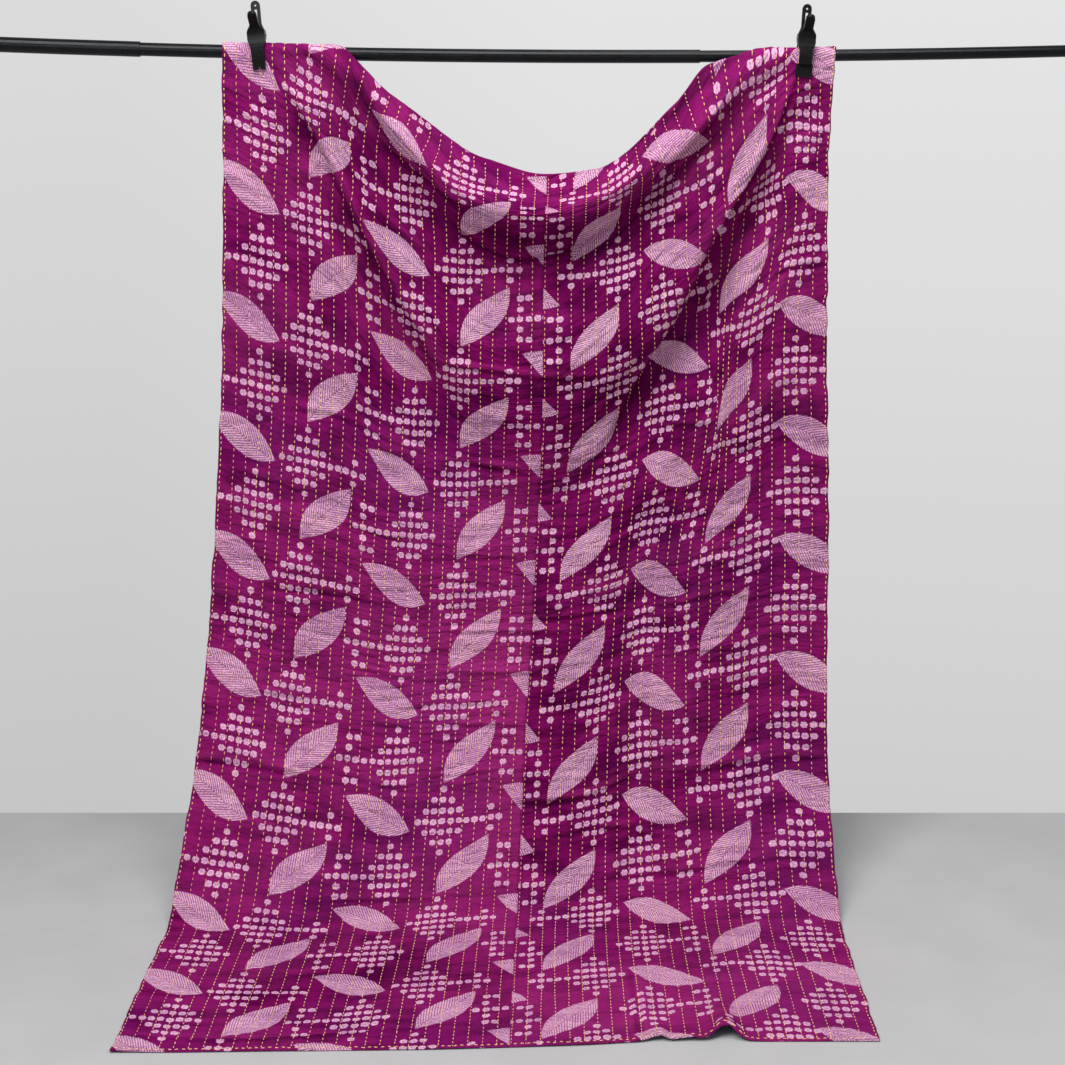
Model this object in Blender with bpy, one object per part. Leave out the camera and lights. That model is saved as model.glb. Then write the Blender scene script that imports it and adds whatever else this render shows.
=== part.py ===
"""A printed kantha quilt hung from a telescoping rod by two spring clamps.

The quilt goes over the rod at both ends of its top edge, sags between the
clamps in a deep swag, and ends in a flat length on the floor.

Frame: metres, +Z up, +X along the rod, the quilt's front towards -Y, floor at z = 0.
"""

import math

import bmesh
import bpy
import numpy as np

# ------------------------------------------------------------------ sizes (m)
QUILT_WIDTH = 1.30            # across the stitched lines
QUILT_LENGTH = 2.21           # from front hem to back hem
QUILT_THICK = 0.0030          # between two stitched lines
STITCH_DEPTH = 0.0008         # how far a stitched line is drawn in
STITCH_LINES = 51             # lines of running stitch along the quilt
STITCH_FIRST = 0.0230         # first line, as a share of the width
STITCH_PITCH = 0.01908        # between lines, as a share of the width
QUILT_ROD_GAP = 0.00128       # air between quilt and rod

ROD_HALF = 1.04               # half the rod's length
ROD_MID_Z = 1.5955            # rod centre over the floor, at mid length
ROD_TILT = -0.0060            # fall towards +X
ROD_BOW = 0.0155              # sag, rise per metre squared
TUBE_WALL = 0.0012
TUBE_GAP = 0.0003             # all round, tube in tube
TUBE_OVERLAP = 0.060          # length of one tube inside the next
END_WALL = 0.003

BEND_SOFT = 0.018             # softness of the turn on the floor
SWEEP_REACH = 0.30            # height over which the quilt sweeps back
REACH_LOSS = 0.12             # length spent in that sweep
REACH_FADE = 0.25
DROOP_SPAN = 1.55
DROOP_POWER = 2.2

# rod tubes: name, start x, end x, outer radius, which end stays closed
TUBES = (
    # name              x0       x1      radius   closed
    ("rod_outer_tube", -1.040, -0.731, 0.01425, "start"),
    ("rod_middle_tube", -0.731, 0.312, 0.01240, "none"),
    ("rod_inner_tube", 0.312, 1.040, 0.01090, "end"),
)

# sections across the quilt: share of width, front hem y, length on the floor,
# droop at the top, extra drop of the back hem, and how far the print line drifts
# sideways at seven levels (thousandths of the width)
SECTIONS = (
    # u     hem_y   run    droop  drop   hem fold low mid high upper top
    (0.000, -0.836, 0.430, 0.000, -0.012, 0, 0, 0, 0, 0, 0, 0),
    (0.041, -0.836, 0.435, 0.000, -0.014, 0, 1, 2, 2, 2, 1, 0),
    (0.175, -0.833, 0.450, 0.012, -0.004, 0, 3, 2, 2, 8, 4, -2),
    (0.284, -0.830, 0.468, 0.077, 0.004, 0, 6, 3, 7, 9, 1, -2),
    (0.424, -0.826, 0.482, 0.120, 0.047, 0, 1, 0, 2, 2, 4, 4),
    (0.510, -0.820, 0.486, 0.121, 0.074, 0, 0, 0, 4, 12, 13, 11),
    (0.595, -0.814, 0.487, 0.122, 0.060, 0, -2, 1, 7, 23, 22, 18),
    (0.731, -0.800, 0.455, 0.092, 0.004, 0, -5, -11, -10, 22, 18, 8),
    (0.786, -0.800, 0.462, 0.075, -0.050, 0, -6, -13, -16, 21, 22, 5),
    (0.862, -0.800, 0.462, 0.048, -0.040, 0, -8, -13, -16, -10, 24, 5),
    (0.938, -0.800, 0.432, 0.016, -0.018, 0, -4, -8, -9, -10, 12, 2),
    (1.000, -0.800, 0.424, 0.006, -0.008, 0, 0, 0, 0, 0, 0, 0),
)
HEM_DROP_FROM = 2.00          # where along the quilt the extra drop begins

# levels along the quilt: distance from the front hem, left edge x, right edge x
LEVELS = (
    # s     left    right
    (0.00, -0.711, 0.589),
    (0.44, -0.690, 0.586),
    (0.88, -0.651, 0.582),
    (1.15, -0.630, 0.583),
    (1.60, -0.598, 0.568),
    (1.95, -0.583, 0.558),
    (2.17, -0.576, 0.565),
)

# swag lines from clamp to clamp: height of each line and how far it stands
# towards the front (mm), at eleven stations along x
SWAG_X = (-0.50, -0.42, -0.34, -0.25, -0.12, 0.02, 0.14, 0.25, 0.34, 0.42, 0.50)
SWAG_LINES = (
    # name, heights at the stations, stand-out at the stations
    ("top", (1.640, 1.640, 1.600, 1.530, 1.440, 1.375, 1.400, 1.480, 1.560, 1.640, 1.640),
     (0, 2, 4, 2, -6, -10, -6, 2, 4, 2, 0)),
    ("first_crest", (1.618, 1.610, 1.562, 1.441, 1.322, 1.292, 1.333, 1.412, 1.495, 1.571, 1.600),
     (0, 8, 20, 30, 44, 50, 46, 36, 26, 12, 0)),
    ("first_valley", (1.600, 1.585, 1.508, 1.388, 1.244, 1.202, 1.237, 1.350, 1.449, 1.526, 1.580),
     (0, 1, -4, -10, -20, -24, -22, -14, -6, 0, 0)),
    ("second_crest", (1.590, 1.484, 1.335, 1.156, 1.022, 1.001, 1.044, 1.133, 1.284, 1.421, 1.553),
     (0, 10, 17, 21, 27, 30, 29, 26, 22, 12, 2)),
    ("second_valley", (1.555, 1.432, 1.262, 1.055, 0.845, 0.707, 0.825, 0.981, 1.122, 1.303, 1.498),
     (0, -12, -20, -22, -14, -10, -18, -32, -42, -34, -6)),
    ("settle", (1.480, 1.330, 1.140, 0.925, 0.660, 0.494, 0.600, 0.790, 0.930, 1.180, 1.369),
     (0, 0, 0, 0, 0, 0, 0, 0, 0, 0, 0)),
)

# soft lengthwise folds below the swag: x at the top, x at the floor, top height,
# half width, stand-out (mm)
LONG_FOLDS = (
    # x_top   x_low   z_top  half   out
    (-0.345, -0.370, 0.95, 0.055, -9.0),
    (-0.230, -0.245, 0.85, 0.060, 8.0),
    (0.040, 0.030, 0.55, 0.070, 6.0),
    (0.215, 0.235, 0.80, 0.050, -10.0),
    (0.330, 0.315, 0.85, 0.055, 13.0),
    (0.445, 0.440, 1.00, 0.050, -9.0),
)

# lifts of the front hem: x, rise, half width, reach back from the hem
HEM_LIFTS = (
    # x      rise    half    reach
    (0.330, 0.0245, 0.0230, 0.080),
    (0.213, 0.0090, 0.0150, 0.060),
    (0.270, 0.0050, 0.0250, 0.120),
)

# rows of the quilt's faces up to the foot of the hanging part: band length, rows
FLOOR_BANDS = ((0.120, 3), (0.260, 1), (0.150, 6), (0.090, 1))
SWEEP_ROWS = (0.09, 0.20, 0.33, 0.48, 0.64, 0.81, 1.0)   # up to the lowest swag line
# above that, rows follow the swag lines: where each one meets the side edges, and
# how many rows lead up to it
SIDE_ROWS = (
    # line            s at the sides  rows
    ("settle", 1.700, 0),
    ("second_valley", 1.960, 3),
    ("second_crest", 2.095, 4),
    ("first_valley", 2.143, 4),
    ("first_crest", 2.177, 4),
    ("hem", 2.210, 4),
)

# clamps: name, x, lean of the handles towards +X (rad), has swivel pads
CLAMPS = (
    ("left_clamp", -0.5095, -0.085, False),
    ("right_clamp", 0.5065, 0.065, True),
)
ARM_THICK = 0.0065
JAW_WIDTH = 0.0240
HANDLE_WIDTH = 0.0170
PIVOT_RISE = 0.0310           # pivot over the rod's centre
CLAMP_GAP = 0.0008            # jaw or pad to cloth
PIN_RADIUS = 0.0024
SPRING_RADIUS = 0.0055
SPRING_WIRE = 0.0009
PAD_SIZE = (0.0300, 0.0052, 0.0240)
PAD_MID_Z = -0.0260           # pad's middle under the rod's centre
CHEEK_EYE = 0.0085            # radius of the cheeks round the pin
FRONT_CHEEKS = ((-0.0160, -0.0124), (0.0124, 0.0160))
REAR_CHEEKS = ((-0.0118, -0.0083), (0.0083, 0.0118))
HANDLE_ENDS = {"front": (-0.0385, 0.0680), "rear": (0.0235, 0.0840)}

COLOURS = {
    # name: (r, g, b), roughness, metallic
    "quilt_cloth": ((0.180, 0.012, 0.130), 0.90, 0.0),
    "rod_paint": ((0.008, 0.009, 0.011), 0.30, 0.0),
    "clamp_nylon": ((0.010, 0.011, 0.012), 0.42, 0.0),
    "pad_rubber": ((0.012, 0.012, 0.012), 0.75, 0.0),
    "clamp_steel": ((0.32, 0.32, 0.33), 0.38, 1.0),
}


# --------------------------------------------------------------- small helpers
def rod_height(x):
    """Height of the rod's centre line at x: a slight fall and a slight sag."""
    x = np.clip(x, -ROD_HALF + 0.02, ROD_HALF - 0.02)
    return ROD_MID_Z + ROD_TILT * x + ROD_BOW * x * x


def rod_radius(x):
    """Outer radius of the tube at x, eased over 20 mm so the quilt stays smooth."""
    left, middle, right = (row[3] for row in TUBES)
    at = np.asarray(x, float)
    r = middle + (left - middle) * smooth((TUBES[0][2] + 0.01 - at) / 0.02)
    return r + (right - middle) * smooth((at - TUBES[2][1] + 0.01) / 0.02)


def smooth(t):
    """Ease from 0 to 1."""
    t = np.clip(t, 0.0, 1.0)
    return t * t * (3.0 - 2.0 * t)


def spline(knots, values, at):
    """Monotone cubic through the knots; values may have several columns."""
    xk = np.asarray(knots, float)
    yk = np.asarray(values, float)
    step = np.diff(xk)
    shape = (-1,) + (1,) * (yk.ndim - 1)
    slope = np.diff(yk, axis=0) / step.reshape(shape)
    w1 = (2.0 * step[1:] + step[:-1]).reshape(shape)
    w2 = (step[1:] + 2.0 * step[:-1]).reshape(shape)
    a, b = slope[:-1], slope[1:]
    same = (a * b) > 0.0
    safe_a = np.where(same, a, 1.0)
    safe_b = np.where(same, b, 1.0)
    tangent = np.zeros_like(yk)
    tangent[1:-1] = np.where(same, (w1 + w2) / (w1 / safe_a + w2 / safe_b), 0.0)
    tangent[0], tangent[-1] = slope[0], slope[-1]
    i = np.clip(np.searchsorted(xk, at) - 1, 0, len(xk) - 2)
    t = (at - xk[i]) / step[i]
    h = step[i]
    if yk.ndim > 1:
        t, h = t[..., None], h[..., None]
    return ((2 * t**3 - 3 * t**2 + 1) * yk[i] + (t**3 - 2 * t**2 + t) * h * tangent[i]
            + (-2 * t**3 + 3 * t**2) * yk[i + 1] + (t**3 - t**2) * h * tangent[i + 1])


# ------------------------------------------------------------- the quilt's form
def swag_out(x, z):
    """How far the swag's folds bring the cloth forward at (x, z), in metres."""
    at = np.clip(x, SWAG_X[0], SWAG_X[-1])
    stations = np.array(SWAG_X)
    height = np.stack([spline(stations, row[1], at) for row in SWAG_LINES], -1)
    out = np.stack([spline(stations, row[2], at) for row in SWAG_LINES], -1) / 1000.0
    result = np.zeros_like(z)
    for k in range(len(SWAG_LINES) - 1):
        upper, lower = height[..., k], height[..., k + 1]
        t = (upper - z) / np.maximum(upper - lower, 1e-4)
        inside = (t >= 0.0) & (t < 1.0)
        part = out[..., k] + (out[..., k + 1] - out[..., k]) * smooth(t)
        result = np.where(inside, part, result)
    result = np.where(z >= height[..., 0], out[..., 0], result)
    return result * smooth((0.56 - np.abs(x)) / 0.07)


def long_out(x, z):
    """Soft lengthwise folds under the swag, in metres towards the front."""
    total = np.zeros_like(z)
    for x_top, x_low, z_top, half, out in LONG_FOLDS:
        centre = x_low + (x_top - x_low) * np.clip(z / z_top, 0.0, 1.0)
        strength = smooth((z_top - z) / 0.35) * smooth((z - 0.03) / 0.22)
        total += 0.001 * out * strength * np.exp(-((x - centre) / half) ** 2)
    return total


def near_clamp(x, z):
    """1 away from the clamps, 0 where the jaws press the quilt to the rod."""
    keep = np.ones_like(z)
    for _, cx, _, _ in CLAMPS:
        far = ((x - cx) / 0.032) ** 2 + ((z - rod_height(cx)) / 0.050) ** 2
        keep *= smooth((far - 0.75) / 2.2)
    return keep


def lay_out(u, s):
    """Where (u, s) lies before folding: x, y of the turn, length past it, height
    gained on the turn and height reached."""
    table = np.array(SECTIONS)
    level = np.array(LEVELS)
    cut = spline(table[:, 0], table[:, 1:], u)
    hem_y, run, droop, drop = (cut[..., k] for k in range(4))
    drift = cut[..., 4:] / 1000.0
    at = np.clip(s, level[0, 0], level[-1, 0])
    i = np.clip(np.searchsorted(level[:, 0], at) - 1, 0, len(level) - 2)
    t = smooth((at - level[i, 0]) / (level[i + 1, 0] - level[i, 0]))
    low = np.take_along_axis(drift, i[..., None], -1)[..., 0]
    high = np.take_along_axis(drift, (i + 1)[..., None], -1)[..., 0]
    edges = spline(level[:, 0], level[:, 1:], at)
    x = edges[..., 0] + (edges[..., 1] - edges[..., 0]) * (u + low + (high - low) * t)

    past = s - run
    ratio = past / BEND_SOFT
    rise = np.where(ratio > 30.0, past, BEND_SOFT * np.log1p(np.exp(np.clip(ratio, -40.0, 30.0))))
    reach = rise - REACH_LOSS * (1.0 - np.exp(-rise / REACH_FADE))
    reach = reach - droop * (np.maximum(past, 0.0) / DROOP_SPAN) ** DROOP_POWER
    reach = reach - drop * smooth((s - HEM_DROP_FROM) / (QUILT_LENGTH - HEM_DROP_FROM))
    return x, hem_y + run, past, rise, reach


def quilt_point(u, s):
    """Middle of the cloth at share-of-width u and distance s from the front hem."""
    x, turn, past, rise, reach = lay_out(u, s)
    radius = rod_radius(x) + QUILT_ROD_GAP + QUILT_THICK / 2.0
    centre = rod_height(x)
    sweep = (1.0 - np.exp(-reach / SWEEP_REACH)) / (1.0 - np.exp(-centre / SWEEP_REACH))
    front = turn + (past - rise) + (-radius - turn) * np.minimum(sweep, 1.0)
    hanging = smooth((reach - 0.10) / 0.30)
    out = (swag_out(x, reach) * near_clamp(x, reach) + long_out(x, reach)) * hanging

    over = np.maximum(reach - centre, 0.0) / radius   # angle over the rod
    angle = np.minimum(over, math.pi)
    behind = np.maximum(over - math.pi, 0.0) * radius
    lift = np.zeros_like(s)
    for hx, up, half, back in HEM_LIFTS:
        lift += up * np.exp(-((x - hx) / half) ** 2) * np.exp(-(s / back) ** 2)
    wrapped = over > 0.0
    puff = np.maximum(out, 0.0) * np.cos(np.minimum(angle, math.pi / 2.0)) ** 2
    y = np.where(wrapped, -(radius + puff) * np.cos(angle), front - out)
    z = np.where(wrapped, centre + (radius + puff) * np.sin(angle) - behind, reach)
    return np.stack([x, y + lift * 0.55, z + QUILT_THICK / 2.0 + lift], -1)


def row_stations(across):
    """Distance from the front hem of every row, one column per station across."""
    floor = [0.0]
    for length, rows in FLOOR_BANDS:
        start = floor[-1]
        floor += [start + length * (k + 1) / rows for k in range(rows)]
    foot = floor[-1]
    fine = np.linspace(foot, QUILT_LENGTH, 600)
    u, s = np.meshgrid(across, fine, indexing="ij")
    x, _, _, _, reach = lay_out(u, s)
    stations = np.array(SWAG_X)
    at = np.clip(x, SWAG_X[0], SWAG_X[-1])
    top_x = x[:, -1]
    side = smooth((np.abs(top_x - 0.005) - 0.40) / 0.09)
    lines = {"hem": np.full(len(across), QUILT_LENGTH)}
    for name, heights, _ in SWAG_LINES:
        gap = reach - spline(stations, heights, at)
        lines[name] = np.array([np.interp(0.0, gap[k], fine) for k in range(len(across))])
    knots, rows_to = [], []
    for name, at_side, rows in SIDE_ROWS:
        knots.append(lines[name] * (1.0 - side) + at_side * side)
        rows_to.append(rows)
    for k in range(len(knots) - 2, -1, -1):           # keep rows apart and in order
        knots[k] = np.minimum(knots[k], knots[k + 1] - 0.0075 * rows_to[k + 1])
    out = [np.full(len(across), v) for v in floor]
    out += [foot + (knots[0] - foot) * share for share in SWEEP_ROWS]
    for k in range(1, len(knots)):
        out += [knots[k - 1] + (knots[k] - knots[k - 1]) * (j + 1) / rows_to[k] for j in range(rows_to[k])]
    return np.array(out)


def build_quilt():
    """One closed solid: a stitched front face, a plainer back face, turned hems."""
    lines = STITCH_FIRST + STITCH_PITCH * np.arange(STITCH_LINES)
    middles = (lines[:-1] + lines[1:]) / 2.0
    across = np.sort(np.concatenate([[0.0, 1.0], lines, middles]))
    drawn = np.isin(across, lines)                    # columns on a stitched line
    s = row_stations(across)
    u = np.broadcast_to(across, s.shape)
    mid = quilt_point(u, s)
    du, ds = 2e-3, 2e-3
    right = quilt_point(np.clip(u + du, 0, 1), s) - quilt_point(np.clip(u - du, 0, 1), s)
    up = quilt_point(u, np.clip(s + ds, 0, QUILT_LENGTH)) - quilt_point(u, np.clip(s - ds, 0, QUILT_LENGTH))
    normal = np.cross(right, up)
    normal /= np.linalg.norm(normal, axis=-1, keepdims=True)
    front_by = QUILT_THICK / 2.0 - STITCH_DEPTH * drawn[None, :, None]
    front = mid + normal * front_by
    back = (mid - normal * QUILT_THICK / 2.0)[:, ::2]
    flat = (back[..., 2] < 4e-4) & (s[:, ::2] < 0.40)
    back[..., 2] = np.where(flat, 0.0, back[..., 2])

    rows, cols = front.shape[:2]
    bcols = back.shape[1]
    verts = np.concatenate([front.reshape(-1, 3), back.reshape(-1, 3)])
    base = rows * cols

    def span(a, b):
        return np.linalg.norm(verts[a] - verts[b])

    faces = []
    for j in range(rows - 1):
        for i in range(cols - 1):
            a, b = j * cols + i, j * cols + i + 1
            c, d = a + cols, b + cols
            faces += [(a, b, d), (a, d, c)] if span(a, d) < span(b, c) else [(a, b, c), (b, d, c)]
        for i in range(bcols - 1):
            a, b = base + j * bcols + i, base + j * bcols + i + 1
            c, d = a + bcols, b + bcols
            faces += [(a, d, b), (a, c, d)] if span(a, d) < span(b, c) else [(a, c, b), (b, c, d)]
        f0, f1 = j * cols, (j + 1) * cols
        b0, b1 = base + j * bcols, base + (j + 1) * bcols
        faces += [(f0, f1, b0), (f1, b1, b0)]
        f0, f1 = f0 + cols - 1, f1 + cols - 1
        b0, b1 = b0 + bcols - 1, b1 + bcols - 1
        faces += [(f0, b0, f1), (f1, b0, b1)]
    for j, flip in ((0, False), (rows - 1, True)):
        for i in range(bcols - 1):
            a = j * cols + 2 * i
            b = base + j * bcols + i
            rim = [(a, b, a + 1), (a + 1, b, b + 1), (a + 1, b + 1, a + 2)]
            faces += [tuple(reversed(t)) for t in rim] if flip else rim
    return make_object("quilt", verts, faces, "quilt_cloth")


# ------------------------------------------------------------------ scene parts
def make_material(name):
    """Plain Principled material from the colour table."""
    found = bpy.data.materials.get(name)
    if found:
        return found
    colour, rough, metal = COLOURS[name]
    material = bpy.data.materials.new(name)
    material.use_nodes = True
    shader = material.node_tree.nodes["Principled BSDF"]
    shader.inputs["Base Color"].default_value = (*colour, 1.0)
    shader.inputs["Roughness"].default_value = rough
    shader.inputs["Metallic"].default_value = metal
    material.diffuse_color = (*colour, 1.0)
    return material


def make_object(name, verts, faces, material):
    """Mesh object in the part's collection."""
    mesh = bpy.data.meshes.new(name)
    mesh.from_pydata([tuple(map(float, v)) for v in verts], [], faces)
    mesh.update()
    body = bpy.data.objects.new(name, mesh)
    PART.objects.link(body)
    body.data.materials.append(make_material(material))
    return body


def make_cutter(body):
    """Move a body to the cutters' collection."""
    for home in list(body.users_collection):
        home.objects.unlink(body)
    CUTTERS.objects.link(body)
    body.hide_render = True
    body.display_type = "WIRE"
    return body


def boolean(body, other, operation):
    """Add an exact boolean modifier."""
    modifier = body.modifiers.new(operation.lower(), "BOOLEAN")
    modifier.operation = operation
    modifier.solver = "EXACT"
    modifier.object = make_cutter(other)
    return modifier


def curve_body(name, points, radius, sides, material):
    """Round bar along points: a bevelled curve with filled caps, as a mesh."""
    data = bpy.data.curves.new(name, "CURVE")
    data.dimensions = "3D"
    data.bevel_depth = radius
    data.bevel_resolution = sides // 4 - 1 if sides > 4 else 0
    data.use_fill_caps = True
    path = data.splines.new("POLY")
    path.points.add(len(points) - 1)
    for target, p in zip(path.points, points):
        target.co = (*map(float, p), 1.0)
    temp = bpy.data.objects.new(name + "_path", data)
    PART.objects.link(temp)
    bpy.context.view_layer.update()
    graph = bpy.context.evaluated_depsgraph_get()
    mesh = bpy.data.meshes.new_from_object(temp.evaluated_get(graph))
    mesh.name = name
    bpy.data.objects.remove(temp)
    mesh.materials.clear()
    mesh.materials.append(make_material(material))
    work = bmesh.new()
    work.from_mesh(mesh)
    bmesh.ops.remove_doubles(work, verts=work.verts, dist=1e-6)
    bmesh.ops.recalc_face_normals(work, faces=work.faces)
    work.to_mesh(mesh)
    work.free()
    body = bpy.data.objects.new(name, mesh)
    PART.objects.link(body)
    return body


def rod_path(x0, x1, step=0.12):
    """Points along the rod's centre line; its outermost 20 mm run level."""
    inner0, inner1 = max(x0, -ROD_HALF + 0.02), min(x1, ROD_HALF - 0.02)
    count = max(2, int(round((inner1 - inner0) / step)) + 1)
    xs = list(np.linspace(inner0, inner1, count))
    if x0 < inner0:
        xs = [x0] + xs
    if x1 > inner1:
        xs = xs + [x1]
    return [(x, 0.0, float(rod_height(x))) for x in xs]


def build_rod():
    """Three tubes, each slipped into the one before it."""
    made = []
    for k, (name, x0, x1, radius, closed) in enumerate(TUBES):
        start = x0 - (TUBE_OVERLAP if k else 0.0)
        tube = curve_body(name, rod_path(start, x1), radius, 32, "rod_paint")
        bore0 = start + END_WALL if closed == "start" else start - 0.01
        bore1 = x1 - END_WALL if closed == "end" else x1 + 0.01
        if k < len(TUBES) - 1:
            bore_radius = TUBES[k + 1][3] + TUBE_GAP
        else:
            bore_radius = radius - TUBE_WALL
        bore = curve_body(name + "_bore", rod_path(bore0, bore1), bore_radius, 32, "rod_paint")
        boolean(tube, bore, "DIFFERENCE")
        made.append(tube)
    return made


# ------------------------------------------------------------------- the clamps
def soften(path, times=2):
    """Cut a path's corners, keeping its ends."""
    points = [np.array(p, float) for p in path]
    for _ in range(times):
        cut = [points[0]]
        for a, b in zip(points[:-1], points[1:]):
            cut += [a * 0.75 + b * 0.25, a * 0.25 + b * 0.75]
        points = cut + [points[-1]]
    return points


def ribbon(name, path, widths, thick, material="clamp_nylon"):
    """Flat bar bent along a (y, z) path, with its own width along X at each point."""
    points = [np.array(p, float) for p in path]
    verts, faces = [], []
    for k, at in enumerate(points):
        before = at - points[k - 1] if k else points[1] - at
        after = points[k + 1] - at if k < len(points) - 1 else before
        before, after = before / np.linalg.norm(before), after / np.linalg.norm(after)
        along = before + after
        along /= np.linalg.norm(along)
        out = np.array([-along[1], along[0]]) * thick / 2.0 / max(float(along @ before), 0.5)
        half = widths[k] / 2.0
        for x, sign in ((-half, -1), (half, -1), (half, 1), (-half, 1)):
            verts.append((x, *(at + sign * out)))
        if k:
            for e in range(4):
                a, b = 4 * (k - 1) + e, 4 * (k - 1) + (e + 1) % 4
                faces.append((a, b, b + 4, a + 4))
    last = 4 * (len(points) - 1)
    faces += [(3, 2, 1, 0), (last, last + 1, last + 2, last + 3)]
    body = make_object(name, verts, faces, material)
    work = bmesh.new()
    work.from_mesh(body.data)
    bmesh.ops.recalc_face_normals(work, faces=work.faces)
    work.to_mesh(body.data)
    work.free()
    return body


def disc(name, radius, depth, axis, sides=24, material="clamp_nylon"):
    """Cylinder centred on the origin along X, Y or Z."""
    work = bmesh.new()
    bmesh.ops.create_cone(work, cap_ends=True, segments=sides, radius1=radius, radius2=radius, depth=depth)
    mesh = bpy.data.meshes.new(name)
    work.to_mesh(mesh)
    work.free()
    points = np.array([v.co[:] for v in mesh.vertices])
    if axis == "Y":
        points = points[:, [0, 2, 1]] * (1, -1, 1)
    elif axis == "X":
        points = points[:, [2, 1, 0]] * (1, 1, -1)
    for vertex, co in zip(mesh.vertices, points):
        vertex.co = co
    body = bpy.data.objects.new(name, mesh)
    PART.objects.link(body)
    body.data.materials.append(make_material(material))
    return body


def box(name, size, material="clamp_nylon"):
    """Plain block centred on the origin."""
    work = bmesh.new()
    bmesh.ops.create_cube(work, size=1.0)
    bmesh.ops.scale(work, vec=size, verts=work.verts)
    mesh = bpy.data.meshes.new(name)
    work.to_mesh(mesh)
    work.free()
    body = bpy.data.objects.new(name, mesh)
    PART.objects.link(body)
    body.data.materials.append(make_material(material))
    return body


def cheek(name, x0, x1, plate):
    """Plate from the arm to the pin: the hull of a round eye and a foot in the arm."""
    work = bmesh.new()
    for x in (x0, x1):
        for k in range(20):
            a = 2.0 * math.pi * k / 20
            work.verts.new((x, CHEEK_EYE * math.cos(a), PIVOT_RISE + CHEEK_EYE * math.sin(a)))
        for dz in (-0.0125, 0.0105):
            work.verts.new((x, plate, PIVOT_RISE + dz))
    bmesh.ops.convex_hull(work, input=work.verts)
    bmesh.ops.dissolve_limit(work, angle_limit=0.001, verts=work.verts, edges=work.edges)
    bmesh.ops.recalc_face_normals(work, faces=work.faces)
    mesh = bpy.data.meshes.new(name)
    work.to_mesh(mesh)
    work.free()
    body = bpy.data.objects.new(name, mesh)
    PART.objects.link(body)
    body.data.materials.append(make_material("clamp_nylon"))
    return body


def turn_mesh(body, angle):
    """Turn a mesh about X so that +Z leans towards +Y by angle."""
    c, n = math.cos(angle), math.sin(angle)
    for vertex in body.data.vertices:
        x, y, z = vertex.co
        vertex.co = (x, y * c + z * n, -y * n + z * c)


def shift_mesh(body, offset):
    """Move a mesh's points."""
    for vertex in body.data.vertices:
        vertex.co = tuple(a + b for a, b in zip(vertex.co, offset))


def freeze(body):
    """Keep the evaluated mesh and drop the modifiers and their cutters."""
    bpy.context.view_layer.update()
    graph = bpy.context.evaluated_depsgraph_get()
    mesh = bpy.data.meshes.new_from_object(body.evaluated_get(graph))
    mesh.name = body.name
    others = [m.object for m in body.modifiers if m.type == "BOOLEAN"]
    body.modifiers.clear()
    body.data = mesh
    for other in others:
        bpy.data.objects.remove(other)


def arm(name, side, has_pad, inner):
    """One arm: jaw, cheeks on the pin, and handle. side is -1 front, +1 rear."""
    mid = inner + CLAMP_GAP + ARM_THICK / 2.0
    jaw_y = side * (mid + PAD_SIZE[1] if has_pad else mid)
    tip = -0.0145 if has_pad else -0.0305
    hub = (side * 0.0150, PIVOT_RISE)
    bend = (side * 0.0150, PIVOT_RISE + 0.0120)
    end = HANDLE_ENDS["front" if side < 0 else "rear"]
    path = soften([(jaw_y, tip), (jaw_y, 0.0085), hub, bend, (bend[0] + (end[0] - bend[0]) * 0.5,
                  bend[1] + (end[1] - bend[1]) * 0.5), end])
    wide_z = [(-0.05, JAW_WIDTH), (0.012, JAW_WIDTH), (0.020, 0.0330), (0.040, 0.0330), (0.050, HANDLE_WIDTH), (0.2, HANDLE_WIDTH)]
    if side > 0:
        wide_z = [(z, min(w, 0.0250)) for z, w in wide_z]
    widths = [float(np.interp(p[1], *zip(*wide_z))) for p in path]
    along = (path[-1] - path[-2]) / np.linalg.norm(path[-1] - path[-2])
    half = HANDLE_WIDTH / 2.0
    for turn in (0.35, 0.65, 0.90, 1.10, 1.30, 1.45):
        path.append(np.array(end) + along * half * math.sin(turn))
        widths.append(2.0 * half * math.cos(turn))
    body = ribbon(name, path, widths, ARM_THICK)
    spans = FRONT_CHEEKS if side < 0 else REAR_CHEEKS
    for k, (a, b) in enumerate(spans):
        boolean(body, cheek(name + "_cheek%d" % k, a, b, side * 0.0148), "UNION")
    hole = disc(name + "_pin_hole", PIN_RADIUS + 0.0004, 0.06, "X")
    shift_mesh(hole, (0.0, 0.0, PIVOT_RISE))
    eye = disc(name + "_eye", 0.0022, 0.03, "Y", 16)
    angle = math.atan2(along[0], along[1])
    for cut in (hole, eye):
        if cut is eye:
            turn_mesh(cut, angle)
            shift_mesh(cut, (0.0, *end))
        boolean(body, cut, "DIFFERENCE")
    if side > 0:
        slot = box(name + "_slot", (0.0050, 0.03, 0.0240))
        shift_mesh(slot, (0.0, 0.0, -0.0190))
        turn_mesh(slot, angle)
        shift_mesh(slot, (0.0, *end))
        boolean(body, slot, "DIFFERENCE")
    if not has_pad:
        notch = box(name + "_notch", (0.0048, 0.03, 0.0130))
        shift_mesh(notch, (0.0, jaw_y, tip))
        boolean(body, notch, "DIFFERENCE")
    freeze(body)
    return body


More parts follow.
